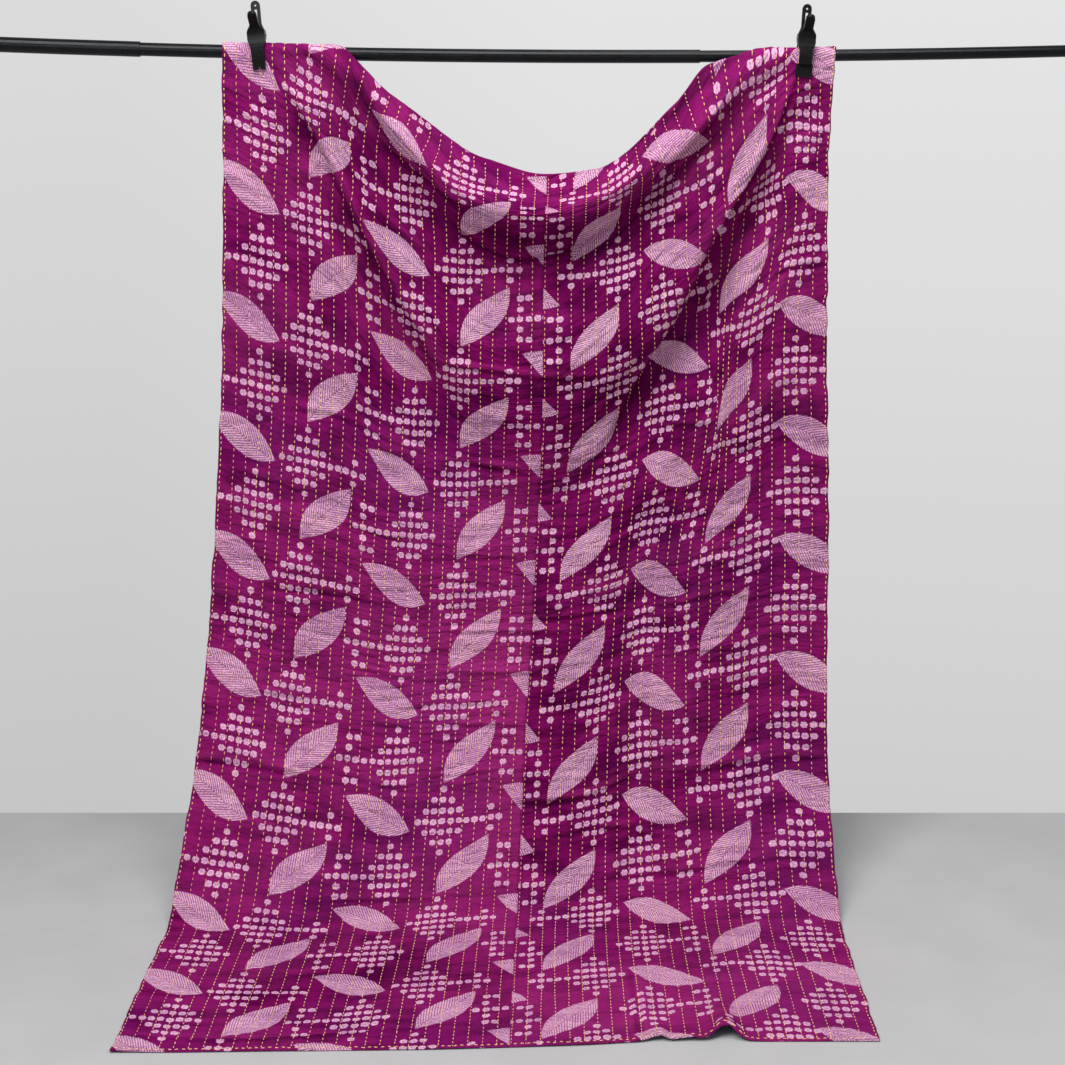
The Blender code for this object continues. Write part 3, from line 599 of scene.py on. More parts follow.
class Wires:
    """Short calls that build the node tree of one finish."""

    def __init__(self, owner: bpy.types.Material | bpy.types.World) -> None:
        """Start on the node tree of a material or a world."""
        owner.use_nodes = True
        self.tree = owner.node_tree
        self.shader = self.tree.nodes.get("Principled BSDF") or self.tree.nodes["Background"]

    def plug(self, source: Term | float | Sequence[float], target: bpy.types.NodeSocket) -> None:
        """Join a term to a socket, or write a plain value into it."""
        if isinstance(source, Term):
            self.tree.links.new(source.socket, target)
        else:
            target.default_value = source

    def node(self, kind: str, inputs: dict[str | int, Term | float | Sequence[float]],
             output: str | int = 0, **settings: object) -> Term:
        """Add one node.

        Args:
            kind: the node's type.
            inputs: what goes into each input, by name or number.
            output: which output is wanted.
            settings: the node's plain properties.

        Returns:
            The output as a term.
        """
        made = self.tree.nodes.new(kind)
        for key, value in settings.items():
            setattr(made, key, value)
        for key, value in inputs.items():
            self.plug(value, made.inputs[key])
        return Term(self, made.outputs[output])

    def math(self, kind: str, *values: Term | float) -> Term:
        """One Math node."""
        return self.node("ShaderNodeMath", dict(enumerate(values)), operation=kind)

    def mad(self, a: Term | float, b: Term | float, c: Term | float) -> Term:
        """a times b plus c in one node."""
        return self.math("MULTIPLY_ADD", a, b, c)

    def either(self, a: Term, b: Term) -> Term:
        """The larger of a and b."""
        return self.math("MAXIMUM", a, b)

    def both(self, a: Term, b: Term) -> Term:
        """The smaller of a and b."""
        return self.math("MINIMUM", a, b)

    def near(self, a: Term, b: float) -> Term:
        """1 where a is within a half of b, 0 elsewhere."""
        return self.math("COMPARE", a, b, 0.5)

    def edge(self, a: Term, soft: float) -> Term:
        """0 below minus soft, 1 above soft, eased between."""
        return self.node("ShaderNodeMapRange", {"Value": a, "From Min": -soft, "From Max": soft},
                         interpolation_type="SMOOTHSTEP")

    def span(self, a: Term, low: float, high: float, to_low: float = 0.0, to_high: float = 1.0) -> Term:
        """Stretch low..high to to_low..to_high, held at the ends."""
        return self.node("ShaderNodeMapRange", {"Value": a, "From Min": low, "From Max": high,
                                                "To Min": to_low, "To Max": to_high})

    def pick(self, where: Term, a: Term, b: Term) -> Term:
        """a where the switch is 0, b where it is 1."""
        return self.node("ShaderNodeMix", {0: where, 2: a, 3: b}, data_type="FLOAT")

    def blend(self, where: Term | float, a: Term | Sequence[float], b: Term | Sequence[float],
              kind: str = "MIX") -> Term:
        """Mix two colours, each a term or three plain values."""
        first, second = (c if isinstance(c, Term) else (*c, 1.0) for c in (a, b))
        return self.node("ShaderNodeMix", {0: where, 6: first, 7: second}, 2, data_type="RGBA",
                         blend_type=kind)

    def join(self, x: Term | float, y: Term | float, z: Term | float = 0.0) -> Term:
        """A vector of three values."""
        return self.node("ShaderNodeCombineXYZ", {0: x, 1: y, 2: z})

    def split(self, vector: Term) -> tuple[Term, Term, Term]:
        """The three values of a vector."""
        x, y, z = self.node("ShaderNodeSeparateXYZ", {0: vector}).socket.node.outputs
        return Term(self, x), Term(self, y), Term(self, z)

    def cloth_uv(self) -> tuple[Term, Term]:
        """Metres across and along the flat cloth."""
        return self.split(self.node("ShaderNodeUVMap", {}, uv_map="cloth"))[:2]

    def place(self, kind: str = "Object") -> Term:
        """Object coordinates in metres, or another kind."""
        return self.node("ShaderNodeTexCoord", {}, kind)

    def value(self, name: str) -> Term:
        """A float attribute of the mesh."""
        return self.node("ShaderNodeAttribute", {}, "Fac", attribute_name=name)

    def noise(self, vector: Term, scale: float, detail: float = 2.0, rough: float = 0.5,
              flat: bool = False) -> Term:
        """Noise texture, about 0.5 on average; the flat kind reads two coordinates only."""
        inputs = {"Vector": vector, "Scale": scale, "Detail": detail, "Roughness": rough}
        return self.node("ShaderNodeTexNoise", inputs, "Fac", noise_dimensions="2D" if flat else "3D")

    def chance(self, x: Term | float, y: Term | float, z: Term | float = 0.0) -> tuple[Term, Term, Term]:
        """Three random values from 0 to 1 for each whole-number point."""
        inputs = {"Vector": self.join(x, y, z)}
        return self.split(self.node("ShaderNodeTexWhiteNoise", inputs, "Color", noise_dimensions="3D"))

    def stretched(self, x: Term, y: Term, scale: tuple[float, float]) -> Term:
        """Flat vector of two coordinates, each with its own scale."""
        return self.join(x * scale[0], y * scale[1])

    def emboss(self, height: Term, distance: float, strength: float = 1.0) -> None:
        """Bump the surface by a height in units of distance metres."""
        inputs = {"Strength": strength, "Distance": distance, "Height": height}
        self.plug(self.node("ShaderNodeBump", inputs), self.shader.inputs["Normal"])

    def coat(self, colour: Term, roughness: Term | float, shine: float = 0.0) -> None:
        """Set the surface's colour, roughness and shine."""
        for key, value in (("Base Color", colour), ("Roughness", roughness), ("Specular IOR Level", shine)):
            self.plug(value, self.shader.inputs[key])


# ------------------------------------------------------------------ the print
@dataclass(frozen=True)
class Motif:
    """One kind of printed block: a leaf with a diamond of dots and its tail beside it."""

    first: float  # the first column's place across the panel
    spacing: float  # from column to column of this kind
    leaf_rows: tuple[tuple[float, float, float], ...]  # the first leaf's place along, per panel and column
    shifts: tuple[tuple[float, float, float], ...]  # sideways slip, per panel and column
    lean: float  # the leaf's lean, degrees
    half_length: float
    half_width: float
    apex: float  # +1 where the leaf points up its own axis
    dots_across: float  # the diamond's middle, from the leaf's
    dots_along: float
    tail: float  # -1 to the left, +1 to the right
    bracket: bool  # the tail ends in a bracket, not a cross


@dataclass(frozen=True)
class BlockPrint:
    """The two-block print that fills both panels, the right one turned end for end."""

    repeat: float = 0.238  # along the cloth
    seam: float = 0.6715  # across, from the left edge
    turned_about: float = 1.3275  # twice the place that the right panel is turned about
    dot_across: float = 0.0167
    dot_along: float = 0.0217
    dot_half_width: float = 0.0063
    dot_half_height: float = 0.0059
    dot_squareness: float = 2.6  # 2 is round, more is squarer
    dot_slip: tuple[float, float] = (0.0017, 0.0020)  # how far single dots miss their places
    leaf_slip: tuple[float, float] = (0.0040, 0.0050)
    group_slip: tuple[float, float] = (0.0030, 0.0040)
    dot_size: tuple[float, float] = (0.94, 0.16)  # least size of a dot, and its random rest
    dot_soft: float = 0.10
    eye_ring: tuple[float, float, float] = (0.34, 0.14, 0.16)  # the eye's edge, middle and softness
    column_step: float = 17.0  # keeps the random values of columns, panels and kinds apart
    panel_step: float = 91.0
    kind_step: float = 31.0
    petals: float = 6.0
    petal_depth: float = 0.06
    eye_depth: float = 0.22
    rim_shake: float = 0.0022  # unevenness of the leaf's rim and veins
    rim_soft: float = 0.0006
    bow: float = 0.30  # the midrib's bend, in half widths
    taper: float = 0.10  # how much slimmer the leaf's point is
    vein_slope: float = 1.18
    vein_lean: float = 0.646  # turns the pitch along the rib to that across
    vein_pitch: float = 0.0044
    vein_cut: tuple[float, float, float, float] = (-0.80, 0.20, 0.22, 1.0)
    rib_cut: tuple[float, float, float, float] = (0.0003, 0.0012, 0.35, 1.0)
    rib_shake: float = 0.0008
    patchy_cover: tuple[float, float, float, float] = (0.34, 0.60, 0.52, 1.0)
    motifs: tuple[Motif, ...] = (
        Motif(first=0.0490, spacing=0.3255,
              leaf_rows=((0.007, 0.011, 0.018), (0.045, 0.0385, 0.053)),
              shifts=((0, 0, 0), (0.008, 0.002, -0.004)),
              lean=-27.0, half_length=0.0775, half_width=0.0305, apex=-1.0,
              dots_across=0.029, dots_along=0.108, tail=-1.0, bracket=True),
        Motif(first=0.2275, spacing=0.3285,
              leaf_rows=((0.1235, 0.133, 0.133), (0.157, 0.166, 0.166)),
              shifts=((0, 0, 0), (-0.002, -0.002, 0)),
              lean=51.5, half_length=0.0790, half_width=0.0310, apex=1.0,
              dots_across=-0.048, dots_along=0.097, tail=1.0, bracket=False),
    )

    def local(self, w: Wires, across: Term, along: Term) -> tuple[Term, Term, Term]:
        """Which panel, and the coordinates on it: the right panel is turned by half a turn."""
        side = across > self.seam
        return side, w.pick(side, across, self.turned_about - across), w.pick(side, along, along * -1.0)

    def leaf(self, w: Wires, m: Motif, p: Term, q: Term, shake: Term) -> Term:
        """Ink of one leaf: inside where the distance across is under half width times
        (1 - t squared), on a midrib bent like a shallow S, cut by veins off the midrib."""
        c, n = math.cos(math.radians(m.lean)), math.sin(math.radians(m.lean))
        a, b = p * c + q * n, q * c - p * n
        t = a / m.half_length
        round_off = 1.0 - t * t
        bowed = b + t * round_off * (self.bow * m.half_width)
        width = round_off * m.half_width * (1.0 - t * (self.taper * m.apex))
        out, uneven = abs(bowed), shake * self.rim_shake
        inside = w.edge(width - out + uneven, self.rim_soft)
        run = a * m.apex - out * self.vein_slope
        wave = w.math("SINE", (run + uneven) * (2.0 * math.pi * self.vein_lean / self.vein_pitch))
        veins = w.span(wave, *self.vein_cut)
        rib = w.span(out + shake * self.rib_shake, *self.rib_cut)
        return inside * w.both(veins, rib)

    def slipped(self, place: Term, chance: Term, reach: float) -> Term:
        """A place less a random slip of up to half the reach either way."""
        return place - (chance - 0.5) * reach

    def within(self, place: Term) -> Term:
        """The rest of a place that is half a repeat ahead, from minus half a repeat to half."""
        return place % self.repeat - self.repeat / 2.0

    def dots(self, w: Wires, m: Motif, p: Term, q: Term, cell: Term, kind: int) -> Term:
        """Ink of one diamond of dots, seven across, with its tail of four and a cross or a
        bracket on the tail's end."""
        i, j = round(p / self.dot_across), round(q / self.dot_along)
        r1, r2, r3 = w.chance(i, j, cell + self.kind_step * kind)
        dx = self.slipped(p - i * self.dot_across, r1, self.dot_slip[0])
        dy = self.slipped(q - j * self.dot_along, r2, self.dot_slip[1])
        rows, ahead = abs(j), i * m.tail
        diamond = abs(i) + rows < 3.5
        tail = (rows < 0.5) * ((ahead > 0.0) * (ahead < 7.5))
        cross = w.near(ahead, 6.0) * (rows < (2.5 if m.bracket else 1.5))
        member = w.either(w.either(diamond, tail), cross)
        if m.bracket:
            member = w.either(member, w.near(ahead, 5.0) * w.near(rows, 2.0))
        power = self.dot_squareness
        shape = (abs(dx) / self.dot_half_width) ** power + (abs(dy) / self.dot_half_height) ** power
        far = shape ** (1.0 / power)
        lobes = w.math("COSINE", w.mad(w.math("ARCTAN2", dy, dx), self.petals, r3 * self.petals))
        least, rest = self.dot_size
        inside = w.edge(w.mad(r3, rest, least) - w.mad(lobes, self.petal_depth, far), self.dot_soft)
        rim, middle, soft = self.eye_ring
        eye = w.edge(rim - abs(far - middle), soft)
        return member * inside * w.mad(eye, -self.eye_depth, 1.0)

    def choose(self, w: Wires, side: Term, past: tuple[Term, Term],
               table: tuple[tuple[float, ...], ...]) -> Term:
        """The value of a short table for this panel and this column, told by whether the
        column is past the first and past the second."""
        per_panel = []
        for panel in Panel:
            first, second, third = table[panel.value]
            per_panel.append(w.mad(past[1], third - second, w.mad(past[0], second - first, first)))
        return w.pick(side, *per_panel)

    def ink(self, w: Wires, across: Term, along: Term) -> Term:
        """Cover of the pale ink from 0 to 1 at a point of the flat cloth."""
        flat = w.join(across, along)
        shake = w.noise(flat, 330.0, 1.0, flat=True) - 0.5
        side, x, y = self.local(w, across, along)
        covers = []
        for kind, m in enumerate(self.motifs):
            k = round((x - m.first) / m.spacing)
            past = k > 0.5, k > 1.5
            rise = y - self.choose(w, side, past, m.leaf_rows)
            p = x - m.first - k * m.spacing - self.choose(w, side, past, m.shifts)
            column = w.mad(k, self.column_step, side * self.panel_step)
            cell = math.floor(w.mad(rise, 1.0 / self.repeat, 0.5)) + column
            r1, r2, _ = w.chance(cell, 3.0 + kind)
            on_leaf = self.within(rise + self.repeat / 2.0)
            covers.append(self.leaf(w, m, self.slipped(p, r1, self.leaf_slip[0]),
                                    self.slipped(on_leaf, r2, self.leaf_slip[1]), shake))
            lifted = rise - m.dots_along + self.repeat / 2.0
            cell = math.floor(lifted / self.repeat) + column
            r1, r2, _ = w.chance(cell, 7.0 + kind)
            covers.append(self.dots(w, m, self.slipped(p - m.dots_across, r1, self.group_slip[0]),
                                    self.slipped(self.within(lifted), r2, self.group_slip[1]), cell, kind))
        total = covers[0]
        for cover in covers[1:]:
            total = w.either(total, cover)
        return total * w.span(w.noise(flat, 340.0, 1.0, 0.9, True), *self.patchy_cover)


# ------------------------------------------------------------------- finishes
def new_finish(name: str) -> tuple[bpy.types.Material, Wires]:
    """An empty finish and its wires."""
    made = bpy.data.materials.new(name)
    return made, Wires(made)


@dataclass(frozen=True)
class Cotton:
    """Printed cotton of the front face."""

    ground: Colour = (0.200, 0.0045, 0.100)
    ground_deep: Colour = (0.082, 0.0020, 0.046)
    # pale ground, also the colour of painted light on raised folds and the roll
    ground_faded_and_painted_light: Colour = (0.350, 0.025, 0.175)
    ground_cool: Colour = (0.120, 0.006, 0.120)
    # painted shade: the ground's colour in hollows and in the valleys under the roll
    ground_painted_shade: Colour = (0.060, 0.0010, 0.032)
    cool_share: float = 0.22
    ink: Colour = (0.850, 0.515, 0.715)
    ink_on_deep: Colour = (0.84, 0.70, 0.86)  # what the deep ground leaves of the ink's colour
    ink_cover: float = 0.96
    grain_scale: tuple[float, float] = (330.0, 420.0)
    grain_dark: Colour = (0.55, 0.55, 0.55)
    grain_pale: Colour = (1.45, 1.50, 1.45)
    weave_scale: tuple[float, float] = (900.0, 1100.0)
    weave_height: float = 0.00022
    pucker_scale: tuple[float, float] = (15.0, 62.0)
    pucker_height: float = 0.0068
    nick_scale: tuple[float, float] = (9.0, 34.0)
    nick_height: float = 0.0048
    nick_power: float = 0.6
    seam_reach: tuple[float, float] = (0.0004, 0.0030)
    seam_height: float = 0.0011
    roughness: float = 0.92

    def ground_and_painted_light(self, w: Wires) -> Term:
        """Colour of the ground: deep to plain by tone, lighter in pale patches and as painted light on
        raised folds and the swag's roll, darker as painted shade in hollows and in the valleys under the
        roll, and cooler in places.
        """
        fade_and_painted_light = w.value("fade_and_painted_light")
        base = w.blend(w.value("tone"), self.ground_deep, self.ground)
        # lighter: pale patches of the cloth, and painted light on raised folds and the roll
        base = w.blend(w.span(fade_and_painted_light, -1.0, 1.0), base, self.ground_faded_and_painted_light)
        # painted shade: darker in hollows and in the valleys under the roll
        base = w.blend(w.span(fade_and_painted_light, -2.2, -0.7, 0.75, 0.0), base, self.ground_painted_shade)
        return w.blend(w.value("cool") * self.cool_share, base, self.ground_cool)

    def relief(self, w: Wires, across: Term, along: Term, seam: float) -> Term:
        """Height of the puckers, the sharp nicks between them, the weave and the seam."""
        bent = along - w.value("arc")
        puckers = w.noise(w.stretched(across, bent, self.pucker_scale), 1.0, 2.0, 0.62, True)
        ridged = w.noise(w.stretched(across, bent, self.nick_scale), 1.0, 0.0, flat=True)
        nicks = abs(ridged - 0.5) ** self.nick_power
        weave = w.noise(w.stretched(across, along, self.weave_scale), 1.0, 0.0, flat=True)
        joined = w.span(abs(across - seam), *self.seam_reach)
        return (puckers * self.pucker_height + nicks * self.nick_height
                + (weave * self.weave_height + joined * self.seam_height))

    def material(self, name: str, pattern: BlockPrint) -> bpy.types.Material:
        """Dyed ground with painted light and shade, the block print, the grain of its yarns and the relief.
        """
        made, w = new_finish(name)
        across, along = w.cloth_uv()
        ink_deep = tuple(c * share for c, share in zip(self.ink, self.ink_on_deep))
        inked = w.blend(w.value("tone"), ink_deep, self.ink)
        cover = pattern.ink(w, across, along) * self.ink_cover
        grain = w.noise(w.stretched(across, along, self.grain_scale), 1.0, 1.0, 0.65, True)
        yarns = w.blend(w.span(grain, 0.25, 0.75), self.grain_dark, self.grain_pale)
        printed = w.blend(cover, self.ground_and_painted_light(w), inked)
        w.coat(w.blend(0.5, printed, yarns, "MULTIPLY"), self.roughness)
        w.emboss(self.relief(w, across, along, pattern.seam), 1.0)
        return made


@dataclass(frozen=True)
class PlainBack:
    """Plain blue cotton of the reverse."""

    tone: Colour = (0.060, 0.095, 0.165)
    pale: Colour = (0.100, 0.145, 0.225)
    streak_scale: tuple[float, float] = (160.0, 9.0)
    crinkle_scale: tuple[float, float] = (22.0, 120.0)
    crinkle_height: float = 0.003
    roughness: float = 0.9

    def material(self, name: str) -> bpy.types.Material:
        """Washed plain cloth with faint streaks along the weave."""
        made, w = new_finish(name)
        across, along = w.cloth_uv()
        streak = w.noise(w.stretched(across, along, self.streak_scale), 1.0, 1.0, 0.6, True)
        wash = w.noise(w.join(across, along), 9.0, 2.0, 0.6, True)
        mixed = w.span(streak + wash, 0.75, 1.25)
        w.coat(w.blend(mixed, self.tone, self.pale), self.roughness)
        crinkle = w.noise(w.stretched(across, along, self.crinkle_scale), 1.0, 2.0, 0.6, True)
        w.emboss(crinkle, self.crinkle_height, 0.8)
        return made


@dataclass(frozen=True)
class Thread:
    """Cotton sewing thread."""

    gold: Colour = (1.00, 0.70, 0.30)
    rose: Colour = (0.90, 0.36, 0.26)
    roughness: float = 0.75

    def material(self, name: str) -> bpy.types.Material:
        """Soft thread whose shade follows each line's own mix."""
        made, w = new_finish(name)
        shade = w.blend(w.value("shade"), self.gold, self.rose)
        fibres = w.blend(w.noise(w.place(), 900.0, 1.0), (0.5, 0.5, 0.5), (1.4, 1.4, 1.4))
        w.coat(w.blend(0.5, shade, fibres, "MULTIPLY"), self.roughness)
        return made


@dataclass(frozen=True)
class BlackPaint:
    """Smooth black paint of the rod's tubes."""

    tone: Colour = (0.0030, 0.0036, 0.0048)
    rubbed: Colour = (0.006, 0.007, 0.009)
    roughness: float = 0.24
    shine: float = 0.22

    def material(self, name: str) -> bpy.types.Material:
        """Satin paint with a faint drawn grain and handling marks."""
        made, w = new_finish(name)
        x, y, z = w.split(w.place())
        drawn = w.noise(w.join(x * 3.0, y * 90.0, z * 90.0), 1.0, 2.0)
        marks = w.noise(w.place(), 35.0, 4.0, 0.65)
        colour = w.blend(w.span(marks, 0.35, 0.75), self.tone, self.rubbed)
        uneven = w.span(drawn + marks, 0.7, 1.3, self.roughness - 0.07, self.roughness + 0.12)
        w.coat(colour, uneven, self.shine)
        w.emboss(w.noise(w.place(), 700.0, 2.0), 0.0001, 0.10)
        return made


@dataclass(frozen=True)
class BlackNylon:
    """Moulded nylon of the clamps, or rubber where it is rougher."""

    tone: Colour = (0.0030, 0.0031, 0.0036)
    scuffed: Colour = (0.010, 0.010, 0.012)
    roughness: float = 0.33
    shine: float = 0.20

    def material(self, name: str) -> bpy.types.Material:
        """Fine moulded grain with scuffs."""
        made, w = new_finish(name)
        scuff = w.noise(w.place(), 190.0, 4.0, 0.7)
        colour = w.blend(w.span(scuff, 0.55, 0.80), self.tone, self.scuffed)
        w.coat(colour, w.span(scuff, 0.3, 0.7, self.roughness - 0.06, self.roughness + 0.14), self.shine)
        w.emboss(w.noise(w.place(), 2600.0, 2.0), 0.0003, 0.3)
        return made


@dataclass(frozen=True)
class Steel:
    """Plain steel of the clamp pins and springs."""

    tone: Colour = (0.42, 0.42, 0.43)
    dulled: Colour = (0.30, 0.30, 0.31)

    def material(self, name: str) -> bpy.types.Material:
        """Steel with uneven polish."""
        made, w = new_finish(name)
        rub = w.noise(w.place(), 500.0, 3.0)
        w.coat(w.blend(rub, self.tone, self.dulled), w.span(rub, 0.3, 0.7, 0.28, 0.48), 0.5)
        w.shader.inputs["Metallic"].default_value = 1.0
        return made


# ------------------------------------------------------------------ the quilt
@dataclass
class Quilt:
    """Front and back cloth in one sheet, with its running stitch."""

    drape: Drape = field(default_factory=Drape)
    pattern: BlockPrint = field(default_factory=BlockPrint)
    lines: int = 51
    first_line: float = 0.0230  # shares of the width
    line_pitch: float = 0.01908
    steps_per_line: int = 3
    inner_rows: int = 481
    hem_rows: tuple[float, ...] = (0.0, 0.0016, 0.0042, 0.0078)
    edge_columns: tuple[float, ...] = (0.0, 0.0018, 0.0048, 0.0090, 0.0180)
    channel_depth: float = 0.0011
    hem_line: float = 0.0050
    dash: float = 0.0066
    dash_pitch: float = 0.0112
    dash_half_width: float = 0.00092
    dash_height: float = 0.0009
    dash_lengths: tuple[float, float] = (0.80, 1.18)
    dash_slip: float = 0.0007  # how far dashes slip along their line
    dash_stray: float = 0.00012  # and off it
    line_wander: float = 0.0008
    line_shades: tuple[float, float] = (0.9, 2.4)  # mostly gold lines, few rose ones
    # a dash's two ends and two rings: place along it, share of the width, rise in half heights
    dash_shape: tuple[tuple[float, float, float], ...] = (
        (-0.5, 0.0, -0.2), (-0.30, 0.9, 0.75), (0.30, 0.9, 0.75), (0.5, 0.0, -0.2))
    ripple: Clouds = Clouds(11, 0.20, 0.034, 0.0020, 3)
    swell: Clouds = Clouds(23, 0.30, 0.16, 0.0030, offset=7.0)
    crease_gain: float = 1.25
    arc_rise: tuple[float, float] = (1.20, 0.80)  # where the wrinkles' arc begins, and over what
    pull_hold: float = 60.0  # distance from the side edges in which no pull is felt in full (mm)
    calm_under_rod: tuple[float, float] = (0.01, 0.14)  # where the waves begin, and over what
    lying_share: float = 0.55  # what is left of the waves on the floor, as lifts
    lying_ease: float = 0.06
    pucker_height: float = 0.00085
    # seeds of the two faces, then width, height and strength of the fine and the wide puckers
    pucker_seeds: dict[Face, int] = field(default_factory=lambda: {Face.FRONT: 41, Face.BACK: 57})
    pucker_cells: tuple[tuple[float, float, float], ...] = ((0.060, 0.0150, 1.0), (0.10, 0.0270, 0.9))
    strip_slip: float = 0.35  # how far puckers shift from strip to strip
    # rise of the rolled hem: place, half width and height of each swell
    hem_roll: tuple[tuple[float, float, float], ...] = (
        (0.0045, 0.0028, 0.0007), (0.0095, 0.0030, -0.0006))
    edge_reach: float = 0.03  # share of the width in which the edge is uneven
    edge_uneven: float = 0.0016
    edge_inset: float = 0.0004
    print_slip: tuple[Clouds, Clouds] = (Clouds(81, 0.09, 0.09, 0.0018), Clouds(83, 0.09, 0.09, 0.0022))
    seam_calm: float = 0.04  # distance from the seam in which the print keeps still
    clouds: Clouds = Clouds(61, 0.044, 0.030, 0.40, 3)
    smudges: Clouds = Clouds(65, 0.070, 0.0145, 0.40)
    wide_tone: Clouds = Clouds(68, 0.24, 0.17, 0.20)
    middle_tone: float = 0.60
    fading: Clouds = Clouds(71, 0.16, 0.12, 0.22, 3)
    middle_fading: float = -0.62
    coolness: Clouds = Clouds(77, 0.24, 0.24, 0.9)
    middle_coolness: float = 0.15
    edge_soft: float = 0.0035  # width over which the cloth thins to its edge
    layer_gap: float = 0.0012  # least room between front and back
    row_gap: float = 0.0047  # from the hem's rows to the next
    painted_shading_step: float = 0.0030  # relief that changes the painted shading by one step
    painted_shading_gain: float = 0.38  # how much lighter the ground is painted on that step: painted light on raised folds, painted shade in hollows
    painted_light_and_fading_range: tuple[float, float] = (-2.2, 1.0)  # from painted shade (lowest) to pale patches and painted light (highest)
    thread_lean: float = 0.60  # the middle share of a dash that sets its lean
    creases: tuple[Crease, ...] = (
        Crease(((720, 1360), (760, 1440), (800, 1500), (850, 1580), (885, 1640), (930, 1700), (980, 1780),
                (1025, 1870), (1065, 1950), (1100, 1995), (1135, 2032), (1165, 2058), (1195, 2085),
                (1215, 2120), (1225, 2160)), 5.0, -13.0, True),
        Crease(((1000, 1850), (1035, 1905), (1065, 1950), (1100, 1995), (1135, 2032), (1165, 2058),
                (1195, 2085), (1215, 2120), (1225, 2160)), 5.0, -7.0, True),
        Crease(((450, 1600), (420, 1690), (380, 1760), (330, 1830), (270, 1900), (215, 1965), (170, 2035),
                (130, 2100), (100, 2180)), 3.2, 14.0, True),
        Crease(((430, 2020), (480, 1985), (540, 1945), (620, 1918), (680, 1928), (740, 1955), (800, 1995),
                (860, 2025)), 4.5, 9.0),
        Crease(((230, 2160), (300, 2090), (380, 2072), (460, 2050), (540, 2010)), 3.0, 9.0),
        Crease(((840, 2060), (920, 2080), (1000, 2100), (1060, 2125), (1120, 2150)), 3.0, 8.0),
        Crease(((-60, 776), (60, 775), (150, 768), (230, 755), (265, 748)), 4.2, 5.5),
        Crease(((270, 770), (310, 766), (380, 757), (450, 745)), 3.0, 5.0),
        Crease(((610, 734), (670, 733), (720, 733), (760, 738), (850, 752), (930, 764)), 4.6, 6.0),
        Crease(((880, 764), (1000, 772), (1080, 781), (1140, 785), (1200, 776), (1360, 766)), 3.0, 7.0),
        Crease(((40, 1138), (140, 1130), (280, 1127), (330, 1127), (400, 1140)), 2.2, 4.5),
        Crease(((430, 1086), (560, 1091), (650, 1093), (700, 1095), (800, 1100)), 3.0, 4.5),
        Crease(((640, 1122), (740, 1128), (800, 1135), (870, 1125), (930, 1112)), 2.8, 4.5),
        Crease(((920, 1108), (1000, 1125), (1050, 1140), (1100, 1145), (1160, 1118), (1230, 1108)),
               2.4, 5.0),
        Crease(((90, 1480), (200, 1488), (300, 1478), (430, 1464), (500, 1452)), 2.2, 5.0),
        Crease(((460, 1462), (500, 1456), (560, 1450), (620, 1445), (670, 1428)), 4.0, 6.0),
        Crease(((670, 1470), (720, 1470), (800, 1478), (900, 1494), (1000, 1506), (1090, 1512)), 2.4, 5.0),
        Crease(((420, 1668), (560, 1675), (640, 1665), (700, 1662), (820, 1668)), 4.2, 6.0),
        Crease(((500, 936), (600, 940), (680, 942)), 2.2, 4.5),
        Crease(((330, 876), (380, 882), (440, 880)), 2.0, 4.5),
        Crease(((500, 893), (600, 893), (690, 893)), 2.4, 4.0),
        Crease(((500, 998), (620, 1005), (700, 1003)), 2.2, 4.5),
        Crease(((290, 992), (360, 984), (440, 981)), 2.0, 4.5),
        Crease(((230, 512), (320, 512), (400, 515), (500, 522), (560, 532), (670, 542)), 2.6, 5.0),
        Crease(((180, 563), (250, 562), (330, 560), (440, 566)), 2.4, 4.5),
        Crease(((860, 548), (960, 555), (1060, 572), (1130, 582), (1230, 574)), 3.0, 5.5),
        Crease(((820, 668), (860, 664), (920, 659)), 4.0, 6.5),
        Crease(((900, 644), (950, 638), (1010, 634)), 2.2, 4.5),
        Crease(((-60, 55), (100, 38), (200, 32), (300, 38), (400, 50), (500, 63), (560, 72), (690, 84)),
               3.0, 7.0),
        Crease(((500, 1262), (560, 1253), (650, 1256)), 2.4, 4.5),
        Crease(((950, 196), (1080, 197), (1180, 198), (1280, 190)), 1.8, 6.0),
        Crease(((896, -60), (893, 60), (890, 150), (888, 300)), 6.5, 6.5, True),
        Crease(((60, 1346), (100, 1342), (160, 1336)), 2.0, 4.5),
        Crease(((10, 905), (90, 917), (200, 910), (270, 902)), 2.0, 4.5),
        Crease(((700, 655), (760, 648), (830, 652)), 1.8, 4.5),
        Crease(((1150, 1765), (1230, 1760), (1340, 1752)), 2.2, 5.0),
        Crease(((420, 1206), (500, 1200), (600, 1190), (700, 1184)), 1.8, 4.5),
    )

